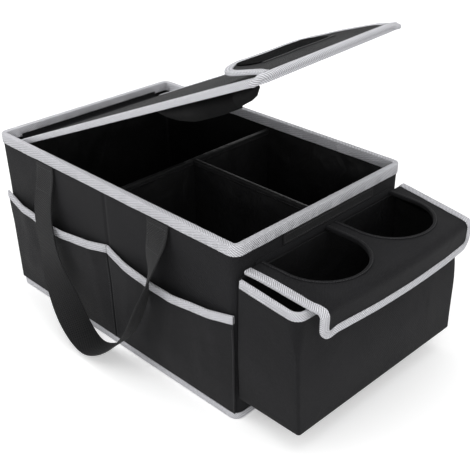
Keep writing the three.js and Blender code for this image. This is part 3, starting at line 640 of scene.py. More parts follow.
# Inside skin: loose glossy lining that wrinkles between the rim tape and the floor.
def makeLining():
    thick, size, floor = liningSkin["thick"], liningSkin["size"], box["floor"]
    route = boxRoute(-box["wall"] + thick / 2, liningSkin["spacing"])
    rows = []
    for height in np.linspace(box["top"], box["bottom"] + thick, liningSkin["rows"]):
        fromRim = smoothStep(box["top"] - height, liningSkin["tightBelow"], liningSkin["looseBelow"])
        loose = fromRim * smoothStep(height, floor, floor + liningSkin["looseAbove"])
        row = []
        for point, off in route:
            ridge = 1 - 2 * abs(wave(point[0] / size, point[1] / size, height / size + 7))
            fine = wave(point[0] / size * 2.3, point[1] / size * 2.3, height / size * 1.4)
            spot = point - off * loose * liningSkin["wrinkle"] * (0.7 + 0.6 * ridge + 0.4 * fine)
            row.append(vec(*spot, height))
        rows.append(row)
    for share in (0.9, 0.5, 0.1):
        rows.append([vec(*(point * share), box["bottom"] + liningSkin["floorRise"]) for point, _ in route])
    fit(clothPiece("inside_lining", rows, thick, wrap=True), "box", "lining_cloth", "liningCloth", "lining")


divider = {
    "thick": 0.004, "top": 0.208, "bead": 0.0011, "beadHeight": 0.007, "seamRise": 0.0016, "spacing": 0.005,
    "rows": 26, "wrinkle": 0.0005, "size": 0.03, "fade": 0.02, "endSteps": 3,
}


# A divider is a covered board with a bound bead along its top edge, its cover a little loose.
def makeDivider(name, start, end):
    half, top, bead, size = divider["thick"] / 2, divider["top"], divider["bead"], divider["size"]
    bottom, fade = box["floor"] + gap, divider["fade"]
    low = top - divider["beadHeight"]
    side = [(half, lerp(bottom, low - 0.0006, step / divider["rows"])) for step in range(divider["rows"] + 1)]
    side += [(half + 0.5 * bead, low - 0.0002), (half + bead, low + bead), (half + bead, top - 2.2 * bead)]
    side += [(half + 0.7 * bead, top - 0.8 * bead), (half * 0.8, top - 0.1 * bead)]
    outline = side + [(-x, z) for x, z in reversed(side)]
    start, end = vec(*start, 0), vec(*end, 0)
    count = round(np.linalg.norm(end - start) / divider["spacing"])
    across = np.cross(unit(end - start), vec(0, 0, 1))
    stations, sections = [], []
    for step in range(count + 1):
        at = lerp(start, end, step / count)
        stations.append((at, across, vec(0, 0, 1)))
        held = min(1.0, min(step, count - step) / divider["endSteps"])
        section = []
        for x, z in outline:
            facing, seed = (1, 3) if x > 0 else (-1, 9)
            ridge = 1 - 2 * abs(wave(at[0] / size, at[1] / size + seed, z / size))
            loose = held * smoothStep(low - z, 0.0, fade) * smoothStep(z, bottom, bottom + fade)
            section.append((x + divider["wrinkle"] * (0.4 + ridge) * loose * facing, z))
        sections.append(section)
    piece = sweepPiece(name + "_cover", stations, sections)
    smoothFaces(piece)
    fit(piece, "box", "lining_cloth", "liningCloth", name)
    rise = vec(0, 0, low + divider["seamRise"])
    seams = [
        [(at + rise + across * facing * (half + bead), across * facing) for at, _, _ in stations]
        for facing in (1, -1)
    ]
    fit(stitchPiece(name + "_stitches", seams), "box", "lining_cloth", "blackThread")


def makeDividers():
    low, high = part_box("cross_divider")
    makeDivider("cross_divider", (0, low.y), (0, high.y))
    low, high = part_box("long_divider")
    makeDivider("long_divider", (low.x, 0), (high.x, 0))


boxTape = {
    "rimReach": 0.0114, "rimSeed": 1.0, "bandHeight": 0.0085, "bandWander": 0.0003, "bandPuff": 0.0001,
    "bandSeam": 0.0014, "spacing": 0.0055,
}


def makeBoxTapes():
    thick, spacing, height = box["wall"], boxTape["spacing"], boxTape["bandHeight"]
    upward = vec(0, 0, 1)
    rim = [(vec(*point, box["top"]), upward, vec(*off, 0)) for point, off in boxRoute(-thick / 2, spacing)]
    bindEdge("rim", rim, (thick, boxTape["rimReach"], boxTape["rimSeed"]), "box", "rim_binding", loop=True)
    band = [(vec(*point, gap), upward, vec(*off, 0)) for point, off in boxRoute(gap, spacing)]
    wanderPitch, puffPitch = tapeShape["wanderPitch"], tapeShape["puffPitch"]
    sections = []
    for (x, y, _), _, _ in band:
        top = height + boxTape["bandWander"] * wave(x * wanderPitch, y * wanderPitch, 5)
        full = tapeThick + boxTape["bandPuff"] * wave(x * puffPitch, y * puffPitch, 8)
        sections.append([
            (0, 0), (0, full * 0.7), (0.0004, full), (top / 2, full), (top - 0.0005, full),
            (top, full * 0.6), (top, 0), (top / 2, 0),
        ])
    piece = sweepPiece("foot_tape", band, sections, loop=True)
    smoothFaces(piece, 50)
    fit(piece, "box", "grey_tape", "greyTape", "bottom_binding")
    seam = [(at + up * tapeThick + across * (height - boxTape["bandSeam"]), up) for at, across, up in band]
    fit(stitchPiece("foot_stitches", [seam + seam[:1]]), "box", "grey_tape", "greyThread")


pocket = {
    "height": 0.142, "sag": 0.009, "belly": 0.009, "cloth": 0.001, "endInset": 0.0018, "seamGap": 0.0016,
    "footBelly": 0.35, "footRise": 3, "tapeReach": 0.009, "band": 0.0085, "rows": 46, "columns": 72,
    "sideSeam": 0.002, "spacing": 0.0035,
    "folds": [
        (-0.66, 0.1, 0.0019, 0.12), (-0.3, 0.15, -0.0021, -0.14), (0.1, 0.11, 0.0017, 0.2),
        (0.42, 0.14, -0.0018, 0.12), (0.76, 0.08, 0.0016, -0.12),
    ],  # centre, width, height and slant
}


# Vertical soft folds of a pocket, by place across from -1 to 1 and up from 0 to 1.
def pocketFold(u, v, seed):
    push = 0.0
    for index, (centre, width, height, slant) in enumerate(pocket["folds"]):
        drift = 0.12 * wave(seed, index * 3.7, 0.5) + slant * (v - 0.5)
        grown = 0.55 + 0.45 * wave(v * 2.2, index * 2.1, seed)
        push += height * grown * math.exp(-((u - centre - drift) / width) ** 2)
    return push + 0.0004 * wave(u * 5, v * 3.5, seed + 4)


def makePocket(side, sign, end, endSign, seed):
    name, cloth = f"{side}_pocket_{end}", pocket["cloth"]
    first = pocket["seamGap"] / 2
    last = box["halfLength"] - pocket["endInset"]
    half, centre = (last - first) / 2, endSign * (first + last) / 2
    bottom = gap + pocket["band"] + gap + cloth
    rest = box["halfWidth"] + gap + cloth / 2
    tall = pocket["height"] - bottom

    def surface(across, along):
        u = clamp((across - centre) / half, -1.0)
        v = along / tall
        arch = 1 - u * u
        rise = math.sin(clamp(pocket["footRise"] * v) * math.pi / 2)
        belly = pocket["belly"] * arch * lerp(pocket["footBelly"], 1, v) * rise
        underTape = edgeRoom * smoothStep(v, 0.6, 0.9)
        folds = pocketFold(u, v, seed) * arch ** 0.6 * smoothStep(v, 0.02, 0.3) if arch > 0 else 0.0
        out = rest + underTape + belly + max(folds, -0.6 * belly)
        return vec(across, sign * out, bottom + along - pocket["sag"] * arch * max(v, 0.0) ** 3)

    rows = [
        [surface(centre + half * (2 * column / pocket["columns"] - 1), tall * row / pocket["rows"])
         for column in range(pocket["columns"] + 1)]
        for row in range(pocket["rows"] + 1)
    ]
    panel = clothPiece(name + "_cloth", rows, cloth)
    fit(panel, "box", "outer_cloth", "outerCloth", name)
    path = [(centre - half, tall, 0, 1), (centre + half, tall, 0, 1)]
    stations = edgeStations(surface, path, pocket["spacing"])
    edge = (cloth, pocket["tapeReach"], seed)
    tape = bindEdge(name, stations, edge, "box", name + "_binding", seamName=name + "_tape")
    seams = []
    for u in (-1, 1):
        across = centre + u * (half - pocket["sideSeam"])
        spots = [surface(across, tall * step / 30) for step in range(28)]
        seams.append([(spot + vec(0, sign * cloth / 2, 0), vec(0, sign, 0)) for spot in spots])
    fit(stitchPiece(name + "_side_stitches", seams), "box", "outer_cloth", "blackThread")


strap = {
    "width": 0.035, "thick": 0.0016, "left": -0.112, "right": 0.0955, "low": 0.008, "out": 0.032,
    "steps": 170, "soft": 0.0005, "columns": 8, "sewn": 14, "seam": 0.8,
    "course": [
        (0, 0, 0), (0, 0.05, 0.08), (0, 0.26, 0.21), (0.02, 0.45, 0.32), (0.07, 0.64, 0.46),
        (0.15, 0.84, 0.62), (0.25, 0.94, 0.77), (0.35, 1, 0.9), (0.435, 1, 0.978), (0.51, 1, 1),
        (0.615, 1, 0.962), (0.75, 0.97, 0.855), (0.87, 0.9, 0.7), (0.955, 0.81, 0.51),
        (0.992, 0.61, 0.35), (1, 0.385, 0.21), (1, 0.1, 0.09), (1, 0, 0),
    ],  # shares of the span along the wall, of the reach off it, and of the drop
    "turns": [(88, 0.2, 0.52), (22, 0.5, 0.8), (70, 0.775, 1.0)],  # degrees, between shares of its length
}


# Smooth line through the points, evenly spaced along its length.
def smoothLine(points, count):
    points = [vec(*point) for point in points]
    points = [2 * points[0] - points[1], *points, 2 * points[-1] - points[-2]]
    line = []
    for before, start, end, after in zip(points, points[1:], points[2:], points[3:]):
        pairs = ((before, start), (start, end), (end, after))
        first, middle, last = (math.sqrt(np.linalg.norm(b - a)) for a, b in pairs)
        chord = (end - start) / middle
        leave = ((start - before) / first - (end - before) / (first + middle) + chord) * middle
        arrive = (chord - (after - start) / (middle + last) + (after - end) / last) * middle
        for step in range(16):
            t = step / 16
            line.append(
                start * (2 * t ** 3 - 3 * t ** 2 + 1) + leave * (t ** 3 - 2 * t ** 2 + t)
                + end * (3 * t ** 2 - 2 * t ** 3) + arrive * (t ** 3 - t ** 2)
            )
    line = np.array(line + [points[-2]])
    run = runLengths(line)
    return np.array([pointAt(spot, run, line) for spot in np.linspace(0, run[-1], count + 1)])


# Webbing handle: sewn under the rim at both ends, turning half round as it hangs.
def makeHandle(side, sign):
    top = box["rimLower"] - 2 * gap
    seat = box["halfWidth"] + gap + strap["thick"] / 2
    left, right, low, reach = strap["left"], strap["right"], strap["low"], strap["out"]
    line = smoothLine([
        (lerp(left, right, across), sign * (seat + reach * out), lerp(top, low, drop))
        for across, out, drop in strap["course"]
    ], strap["steps"])
    half, thick, soft, columns = strap["width"] / 2, strap["thick"] / 2, strap["soft"], strap["columns"]
    section = [(-half, 0), (-half + soft, -thick)]
    section += [(lerp(-half, half, step / columns), -thick) for step in range(1, columns)]
    section += [(half - soft, -thick), (half, 0), (half - soft, thick)]
    section += [(lerp(half, -half, step / columns), thick) for step in range(1, columns)]
    section += [(-half + soft, thick)]
    stations = []
    for index, at in enumerate(line):
        share = index / strap["steps"]
        turned = sum(angle * smoothStep(share, start, end) for angle, start, end in strap["turns"])
        turn = math.radians(turned)
        tangent = courseAt(line, index)
        up = unit(np.cross(tangent, vec(math.cos(turn), -sign * math.sin(turn), 0)))
        stations.append((at, unit(np.cross(up, tangent)), up))
    name = f"{side}_handle"
    piece = sweepPiece(name + "_webbing", stations, [section] * len(stations))
    smoothFaces(piece, 50)
    fit(piece, "box", "webbing", "webbing", name)

    def seamLines(spots):
        places = [(at + across * half * share, up) for (at, across, up), share in spots]
        return [[(at + up * thick * facing, up * facing) for at, up in places] for facing in (1, -1)]

    lines, seam, sewn = [], strap["seam"], strap["sewn"]
    for stretch in (stations[1:sewn], stations[-sewn:-1]):
        for edge in (-seam, seam):
            lines += seamLines([(station, edge) for station in stretch])
        for station in (stretch[1], stretch[-2]):
            lines += seamLines([(station, lerp(-seam, seam, step / columns)) for step in range(columns + 1)])
    fit(stitchPiece(name + "_stitches", lines), "box", "webbing", "blackThread")


lid = {
    "length": 0.462, "width": 0.252, "cloth": 0.0009, "board": 0.0022, "corner": 0.014, "farCorner": 0.06,
    "twist": 0.009, "angle": 23.4, "hingeX": -0.197, "hingeZ": 0.207, "bead": 0.0015, "tapeReach": 0.0114,
    "tapeSeed": 3.0, "spacing": 0.006, "rows": 70, "cornerRows": 14, "columns": 46,
}
lid["total"] = 2 * lid["cloth"] + lid["board"] + 2 * gap
lidPlace = Matrix.Translation((lid["hingeX"], 0, lid["hingeZ"]))
lidPlace = lidPlace @ Matrix.Rotation(-math.radians(lid["angle"]), 4, "Y")


# Surface of the lid at a height over its middle; the far free corner stands a little proud.
def lidLayer(height, lump=0.0, seed=0.0):
    def surface(across, along):
        twist = lid["twist"] * (along / lid["length"]) * (across / lid["width"] + 0.5)
        soft = lump * (wave(across * 16, along * 16, seed) + 0.4 * wave(across * 45, along * 45, seed + 5))
        return vec(along, across, height + twist + soft)
    return surface


def makeLid():
    width = lid["width"] - 2 * edgeRoom
    panel = {
        "rootWidth": width, "tipWidth": width, "depth": lid["length"] - edgeRoom,
        "corner": lid["corner"], "farCorner": lid["farCorner"], "root": lid["bead"] + gap,
    }
    rows = panelRows(panel, lid["rows"], lid["cornerRows"])
    level = (lid["total"] - lid["cloth"]) / 2
    for name, height, slot, look, node, lump, seed in (
        ("lid_top_cloth", level, "outer_cloth", "outerCloth", "lid_cloth", 0.0005, 2.0),
        ("lid_under_cloth", -level, "lining_cloth", "liningCloth", "lid_lining", 0.0007, 6.0),
    ):
        piece = clothPiece(name, panelGrid(lidLayer(height, lump, seed), rows, lid["columns"]), lid["cloth"])
        place(piece, lidPlace)
        fit(piece, "lid", slot, look, node)
    stations = edgeStations(lidLayer(0), panelEdge(panel, rows), lid["spacing"])
    edge = (lid["total"], lid["tapeReach"], lid["tapeSeed"])
    bindEdge("lid", stations, edge, "lid", "lid_binding", lidPlace)


cornerTab = {
    "thick": 0.0014, "inset": 0.0145, "bulge": 0.004, "fullAt": 0.02, "fold": 0.0012, "foldPitch": 55,
    "leastDepth": 0.0004, "columns": 30, "rows": 14,
    "inner": [(0.286, 0.0), (0.3, 0.008), (0.32, 0.0155), (0.345, 0.02), (0.375, 0.0205), (0.398, 0.0185)],
    "outer": [(0.411, 0.0165), (0.42, 0.0145), (0.432, 0.0125), (0.44, 0.0095), (0.4455, 0.003)],
    "drawnFrom": 0.345, "drawnTo": 0.4, "drawn": 0.0165,
}  # the outline of each lobe: place along the lid, and depth below it; the inner one draws in at the wall


# Slack cloth under the lid's near free corner, in two lobes with room for the end wall between them.
def makeCornerTab():
    top = lid["total"] / 2 + gap
    for name, outline, drawn, nodes in (
        ("corner_tab_cloth", cornerTab["outer"], 0.0, ["lid_corner_tab"]),
        ("corner_gusset_cloth", cornerTab["inner"], cornerTab["drawn"], []),
    ):
        places, depths = [x for x, _ in outline], [depth for _, depth in outline]
        rows = []
        for row in range(cornerTab["rows"] + 1):
            share = row / cornerTab["rows"]
            line = []
            for x in np.linspace(places[0], places[-1], cornerTab["columns"] + 1):
                depth = max(np.interp(x, places, depths), cornerTab["leastDepth"])
                belly = cornerTab["bulge"] * math.sin(math.pi * share) * depth / cornerTab["fullAt"]
                fold = cornerTab["fold"] * wave(x * cornerTab["foldPitch"], share * 1.5, 2) * share
                across = cornerTab["inset"] - lid["width"] / 2 - belly + fold
                across += drawn * smoothStep(x, cornerTab["drawnFrom"], cornerTab["drawnTo"])
                line.append(vec(x, across, -top - depth * share))
            rows.append(line)
        piece = clothPiece(name, rows, cornerTab["thick"])
        place(piece, lidPlace)
        # painted shade: both lobes take the darker copy of the lining, for the shadow under the lid
        fit(piece, "lid", "lining_cloth", "paintedShadeLining", *nodes)


flap = {
    "rootWidth": 0.19, "tipWidth": 0.16, "depth": 0.09, "corner": 0.044, "shift": -0.024, "cloth": 0.0014,
    "angle": 5, "lift": 0.003, "wavy": 0.0009, "lowest": -0.0002, "tipRise": 0.003, "rootDrop": 0.0003,
    "taper": 0.012, "tapeReach": 0.0074, "tapeSeed": 5.0, "spacing": 0.004, "areaShare": 0.85,
    "rows": 18, "cornerRows": 16, "columns": 44, "rollRadius": 0.0031, "rollEnd": 0.014, "rollSink": 0.0038,
}
hookStrip = {
    "width": 0.112, "depth": 0.037, "inset": 0.0015, "tape": 0.0085, "thick": 0.0009, "rows": 60,
    "columns": 18, "nap": 0.00025, "napSize": 0.0014, "borderSteps": 60, "borderWander": 0.0022,
    "borderInset": 0.0012, "borderRise": 0.0006, "cord": (0.0008, 0.0006),
}
foldPlace = lidPlace @ Matrix.Translation((lid["length"] + gap, 0, flap["lift"] + lid["twist"] / 2))
foldPlace = foldPlace @ Matrix.Rotation(math.atan(lid["twist"] / lid["width"]), 4, "X")
flapPlace = foldPlace @ Matrix.Rotation(math.radians(flap["angle"]), 4, "Y")
flapHeight = lid["total"] / 2 + 3 * gap + 2 * tapeThick + flap["cloth"] / 2 + gap - flap["lift"]


# The flap's middle surface, folded back over the lid: pressed down at its root, its tip a little up.
def flapSurface(across, along):
    soft = flap["wavy"] * wave(across * 24, along * 24, 9) * smoothStep(along, 0.0, 0.02)
    drop = flap["rootDrop"] * (1 - smoothStep(along, 0.0, flap["taper"]))
    rise = flap["tipRise"] * (max(along, 0.0) / flap["depth"]) ** 2
    return vec(-along, across, flapHeight + max(soft, flap["lowest"]) - drop + rise)


# Closure flap with its tape, the hook strip on top of it and the roll of tape along its fold.
def makeFlap():
    panel = {
        "rootWidth": flap["rootWidth"] - 2 * edgeRoom, "tipWidth": flap["tipWidth"] - 2 * edgeRoom,
        "depth": flap["depth"] - edgeRoom, "corner": flap["corner"], "shift": flap["shift"], "root": gap,
    }
    rows = panelRows(panel, flap["rows"], flap["cornerRows"])
    cloth = clothPiece("flap_cloth", panelGrid(flapSurface, rows, flap["columns"]), flap["cloth"])
    place(cloth, flapPlace)
    fit(cloth, "closure_flap", "outer_cloth", "outerCloth", "closure_flap")
    stations = edgeStations(flapSurface, panelEdge(panel, rows), flap["spacing"])
    edge = (flap["cloth"], flap["tapeReach"], flap["tapeSeed"])
    tape = bindEdge(
        "flap", stations, edge, "closure_flap", "closure_flap_binding", flapPlace,
        leftOut=4, pinch=flap["taper"],
    )
    strip = makeHookStrip()
    makeFlapRoll()


# Rounded strip of hooks, and the turned edge of the cloth beside it: a thin raised cord that wanders.
def makeHookStrip():
    halfDepth, halfWidth = hookStrip["depth"] / 2, hookStrip["width"] / 2
    centre = flap["depth"] - hookStrip["tape"] - hookStrip["inset"] - halfDepth
    lift = vec(0, 0, flap["cloth"] / 2 + gap + hookStrip["thick"] / 2)
    lines = []
    for y in np.linspace(-halfWidth, halfWidth, hookStrip["rows"]):
        reach = roundedReach(y, halfDepth, halfWidth, hookStrip["depth"] / 3)
        places = np.linspace(-reach, reach, hookStrip["columns"])
        lines.append([flapSurface(flap["shift"] + y, centre + x) + lift for x in places])
    strip = clothPiece("hook_strip_pile", lines, hookStrip["thick"])
    ruffle(strip, hookStrip["nap"], hookStrip["napSize"], 3)
    stations, steps = [], hookStrip["borderSteps"]
    lift = vec(0, 0, flap["cloth"] / 2 + hookStrip["borderRise"])
    for step in range(steps + 1):
        y = lerp(-halfWidth * 0.94, halfWidth * 1.02, step / steps)
        wander = hookStrip["borderWander"] * wave(y * 34, 2.5, 8) - hookStrip["borderInset"]
        at = flapSurface(flap["shift"] + y, centre - halfDepth + wander) + lift
        stations.append((at, vec(1, 0, 0), vec(0, 0, 1)))
    wide, high = hookStrip["cord"]
    turns = np.linspace(0, 1.75 * math.pi, 8)
    section = [(wide * math.cos(turn), high * math.sin(turn)) for turn in turns]
    border = sweepPiece("hook_strip_border", stations, [section] * len(stations))
    smoothFaces(border, 80)
    for piece, slot, look, nodes in (
        (strip, "hook_loop", "hookLoop", ["hook_strip"]), (border, "outer_cloth", "blackThread", []),
    ):
        place(piece, flapPlace)
        fit(piece, "closure_flap", slot, look, *nodes)
    return strip


# Tape rolled along the flap's fold, round about the line that the flap turns on. Both ends sink into
# the lid's own tape, the near one on its way round the lid's corner.
def makeFlapRoll():
    far, near = flap["shift"] + flap["rootWidth"] / 2, lid["corner"] - lid["width"] / 2
    sink, radius, sides = flap["rollSink"], lid["corner"], 16
    line = [
        vec(0, far + flap["rollEnd"] * (1 - share), -sink * (1 - smoothStep(share, 0, 1)))
        for share in np.linspace(0, 1, 13)
    ]
    line += [vec(0, y, 0) for y in np.linspace(far, near, 164)[1:]]
    for turn in np.radians(np.linspace(0, 78, 19)[1:]):
        depth = sink * smoothStep(turn, math.radians(32), math.radians(78))
        line.append(vec(radius * (math.cos(turn) - 1), near - radius * math.sin(turn), 0) - vec(0, 0, depth))
    stations, sections = [], []
    for index, at in enumerate(line):
        onward = courseAt(line, index)
        across = unit(np.cross(onward, vec(0, 0, 1)))
        stations.append((at, across, np.cross(across, onward)))
        full = flap["rollRadius"] + tapeShape["ridge"] * (1 if index % 2 else -1)
        turns = [2 * math.pi * corner / sides for corner in range(sides)]
        sections.append([(full * math.cos(turn), full * math.sin(turn)) for turn in turns])
    roll = sweepPiece("flap_fold_roll", stations, sections)
    smoothFaces(roll, 60)
    place(roll, foldPlace)
    fit(roll, "lid", "grey_tape", "greyTape")


pouch = {
    "width": 0.276, "bottom": 0.032, "depthBottom": 0.092, "depthTop": 0.084, "rimBack": 0.187,
    "rimFront": 0.179, "rimBand": 0.0085, "cloth": 0.002, "corner": 0.012, "backCorner": 0.003,
    "belly": 0.0014, "skew": 0.008, "tapeReach": 0.0086, "tapeSeed": 7.0, "lowCorner": 0.0035,
    "footRadius": 0.0022, "softness": 0.0014, "slack": 0.0009,
    "footRings": 4, "outerRings": 34, "innerRings": 24, "cornerSteps": 6, "sideSteps": (14, 44, 14, 44),
}
pouch["straightFrom"] = 1 - 2 * pouch["rimBand"] / (pouch["rimBack"] - pouch["bottom"])


# Plan outline of the pouch at a share of its height: rounded corners joined by gridded straight sides.
def pouchRing(share, inset, grown=0.0):
    rise = min(1.0, share / pouch["straightFrom"])
    swell = math.sin(math.pi * rise) ** 2
    belly = pouch["belly"] * swell
    back = box["halfLength"] + gap + inset
    front = box["halfLength"] + lerp(pouch["depthBottom"], pouch["depthTop"], rise) + belly - inset - grown
    half = pouch["width"] / 2 + belly - inset - grown
    skew = pouch["skew"] / 2
    corner = lerp(pouch["lowCorner"], pouch["corner"], smoothStep(rise, 0.7, 1.0))
    corners = [
        (back, -half, pouch["backCorner"], 1, 1, math.pi),
        (front - skew, -half, corner, -1, 1, 1.5 * math.pi),
        (front + skew, half, corner, -1, -1, 0),
        (back, half, pouch["backCorner"], 1, -1, math.pi / 2),
    ]
    arcs, steps = [], pouch["cornerSteps"]
    for x, y, radius, inX, inY, start in corners:
        turned = max(radius - inset, 0.0006)
        turns = [start + math.pi / 2 * step / steps for step in range(steps + 1)]
        arcs.append([
            vec(x + inX * turned + turned * math.cos(turn), y + inY * turned + turned * math.sin(turn))
            for turn in turns
        ])
    ring = []
    for arc, following, count in zip(arcs, arcs[1:] + arcs[:1], pouch["sideSteps"]):
        ring += arc
        side = unit(following[0] - arc[-1])
        for step in range(1, count):
            bow = 1 - (2 * step / count - 1) ** 2
            push = pouch["softness"] * swell * bow if following is not arcs[0] else 0.0
            ring.append(lerp(arc[-1], following[0], step / count) + vec(side[1], -side[0]) * push)
    return ring


def pouchRim(x):
    return lerp(pouch["rimBack"], pouch["rimFront"], clamp((x - box["halfLength"]) / pouch["depthTop"]))


# Pouch: a bag of stiffened cloth, up its outside and back down its inside, soft and a little slack.
def makePouch():
    foot, bottom, cloth = pouch["footRadius"], pouch["bottom"], pouch["cloth"]
    tall = pouch["rimBack"] - bottom
    rows = []
    for step in range(pouch["footRings"] + 1):
        turn = math.pi / 2 * step / pouch["footRings"]
        rows.append((foot * (1 - math.cos(turn)) / tall, 0.0, foot * (1 - math.sin(turn)), bottom))
    outer, inner = pouch["outerRings"], pouch["innerRings"]
    rows += [(lerp(foot / tall, 1, step / outer), 0.0, 0.0, bottom) for step in range(1, outer + 1)]
    outside = len(rows)
    rows += [(1 - step / inner, cloth, 0.0, bottom + cloth) for step in range(inner + 1)]
    rings = []
    for share, inset, grown, low in rows:
        ring = []
        for x, y in pouchRing(share, inset, grown):
            lump = pouch["slack"] * wave(x * 20, y * 20, share * 3) * math.sin(math.pi * share)
            sunk = lump if inset == 0 else 0
            outward = 1 if x > box["halfLength"] + 0.02 else 0
            ring.append(vec(x + sunk * outward, y * (1 + sunk * 2), lerp(low, pouchRim(x), share)))
        rings.append(ring)
    count = len(rings[0])
    underside = (len(rings) - 1) * count
    shell = gridPiece("pouch_shell", rings, wrap=True)
    work = bmesh.new()
    work.from_mesh(shell.data)
    work.verts.ensure_lookup_table()
    layer = work.loops.layers.uv.active
    for first in (0, underside):
        face = work.faces.new([work.verts[first + index] for index in range(count)])
        for loop in face.loops:
            loop[layer].uv = (loop.vert.co.x, loop.vert.co.y)
    work.to_mesh(shell.data)
    work.free()
    smoothFaces(shell)
    fit(shell, "box", "outer_cloth", "outerCloth", "pouch")
    shell.data.materials.append(finish["liningCloth"])
    for face in shell.data.polygons:
        face.material_index = 1 if face.index >= outside * count and face.index != underside else 0


def makePouchTape():
    cloth, reach = pouch["cloth"], pouch["tapeReach"]
    clear = box["halfLength"] + 2 * edgeRoom + cloth
    route = [spot for spot in pouchRing(1, cloth / 2) if spot[0] > clear]
    route = [vec(clear, route[0][1])] + route + [vec(clear, route[-1][1])]
    rim = [vec(x, y, pouchRim(x)) for x, y in route]
    stations = []
    for index, at in enumerate(rim):
        onward = courseAt(rim, index)
        up = unit(vec(onward[1], -onward[0], 0))
        stations.append((at, -np.cross(onward, up), up))
    edge = (cloth, reach, pouch["tapeSeed"])
    tape = bindEdge("pouch", stations, edge, "box", "pouch_binding", facings=(1,))
    tape.data.materials.append(finish["paintedShadeLining"])  # painted shade: the side of it inside the pouch takes the darker copy of the lining, not grey
    corners = len(tapeOutline(cloth, reach))
    inner = range(tapeShape["noseSteps"] + 2, corners - 2)  # from the nose round to the open edge
    for face in tape.data.polygons:
        face.material_index = 1 if face.index % corners in inner else 0


cover = {
    "height": 0.192, "thick": 0.0024, "depth": 0.1, "rootWidth": 0.278, "tipWidth": 0.253, "rootShift": 0.009,
    "tipShift": -0.0005, "foldRadius": 0.006, "lipHeight": 0.034, "lipCorner": 0.014, "bow": 0.007,
    "droop": 0.0055, "droopFrom": 0.103, "droopTo": 0.127, "hingeGap": 0.0005, "patchThick": 0.0014,
    "wavy": 0.0005, "spacing": 0.0045, "tapeReach": 0.0083, "tapeSeed": 9.0, "tapeSpacing": 0.0035,
    "cupRadius": 0.05, "cupSpacing": 0.119, "cupShift": 0.0075, "cupReach": 0.083, "cupSteps": 40,
    "edgeReach": 0.0034, "edgeSeed": 11.0, "edgeWander": 0.0002, "edgeSeam": 0.0011,
}
cover["flat"] = cover["depth"] - cover["foldRadius"]
cover["bend"] = cover["foldRadius"] * math.pi / 2
cover["tipHalf"] = cover["tipWidth"] / 2 - edgeRoom
cover["axisX"] = box["halfLength"] + 2 * gap + cover["patchThick"] + cover["thick"] / 2 + cover["hingeGap"]
cover["root"] = -(cover["thick"] + cover["hingeGap"]) / 2
coverPlace = Matrix.Translation((cover["axisX"], 0, cover["height"]))


def coverReach(across):
    side = across / cover["tipHalf"]
    return cover["bow"] * (1 - side ** 2) + pouch["skew"] / 2 * side


# The cover's middle surface: flat over the pouch, then folded down into its front lip.
def coverSurface(across, along):
    flat, radius, bend = cover["flat"], cover["foldRadius"], cover["bend"]
    push = coverReach(across) * clamp(along / flat)
    soft = cover["wavy"] * wave(across * 22, along * 22, 4) * smoothStep(along, 0.0, 0.02)
    margin = smoothStep(-across, cover["droopFrom"], cover["droopTo"])
    soft -= cover["droop"] * margin * smoothStep(along, 0.1 * flat, flat)
    if along <= flat:
        return vec(along + push, across, soft)
    turn = min((along - flat) / radius, math.pi / 2)
    x = flat + radius * math.sin(turn) + push
    z = -radius * (1 - math.cos(turn)) - max(along - flat - bend, 0.0)
    return vec(x, across, z + soft)


# Outline of one cup opening, from the wall round and back; grow is the room outside the finished hole.
def cupOutline(centre, root, grow):
    radius = cover["cupRadius"] + grow
    middle = cover["cupReach"] - cover["cupRadius"]
    points = [vec(lerp(root, middle, step / 8), centre - radius) for step in range(8)]
    for step in range(cover["cupSteps"] + 1):
        turn = -math.pi / 2 + math.pi * step / cover["cupSteps"]
        points.append(vec(middle + radius * math.cos(turn), centre + radius * math.sin(turn)))
    return points + [vec(lerp(middle, root, step / 8), centre + radius) for step in range(1, 9)]


def coverSide(along, sign):
    share = clamp(along / cover["flat"])
    half = lerp(cover["rootWidth"] / 2 - edgeRoom, cover["tipHalf"], share)
    return lerp(cover["rootShift"], cover["tipShift"], share) + sign * half


# Free outline of the cover as a path: across, along, and the direction off the edge.
def coverPath():
    end = cover["flat"] + cover["bend"] + cover["lipHeight"] - cover["foldRadius"] - edgeRoom
    corner = cover["lipCorner"]
    start = end - corner
    path = []
    for sign in (-1, 1):
        side = [(coverSide(along, sign), along, sign, 0) for along in np.linspace(cover["root"], start, 26)]
        for step in range(1, 13):
            turn = math.pi / 2 * step / 12
            across = cover["tipShift"] + sign * (cover["tipHalf"] - corner * (1 - math.cos(turn)))
            side.append((across, start + corner * math.sin(turn), sign * math.cos(turn), math.sin(turn)))
        path += side if sign < 0 else list(reversed(side))
    return path


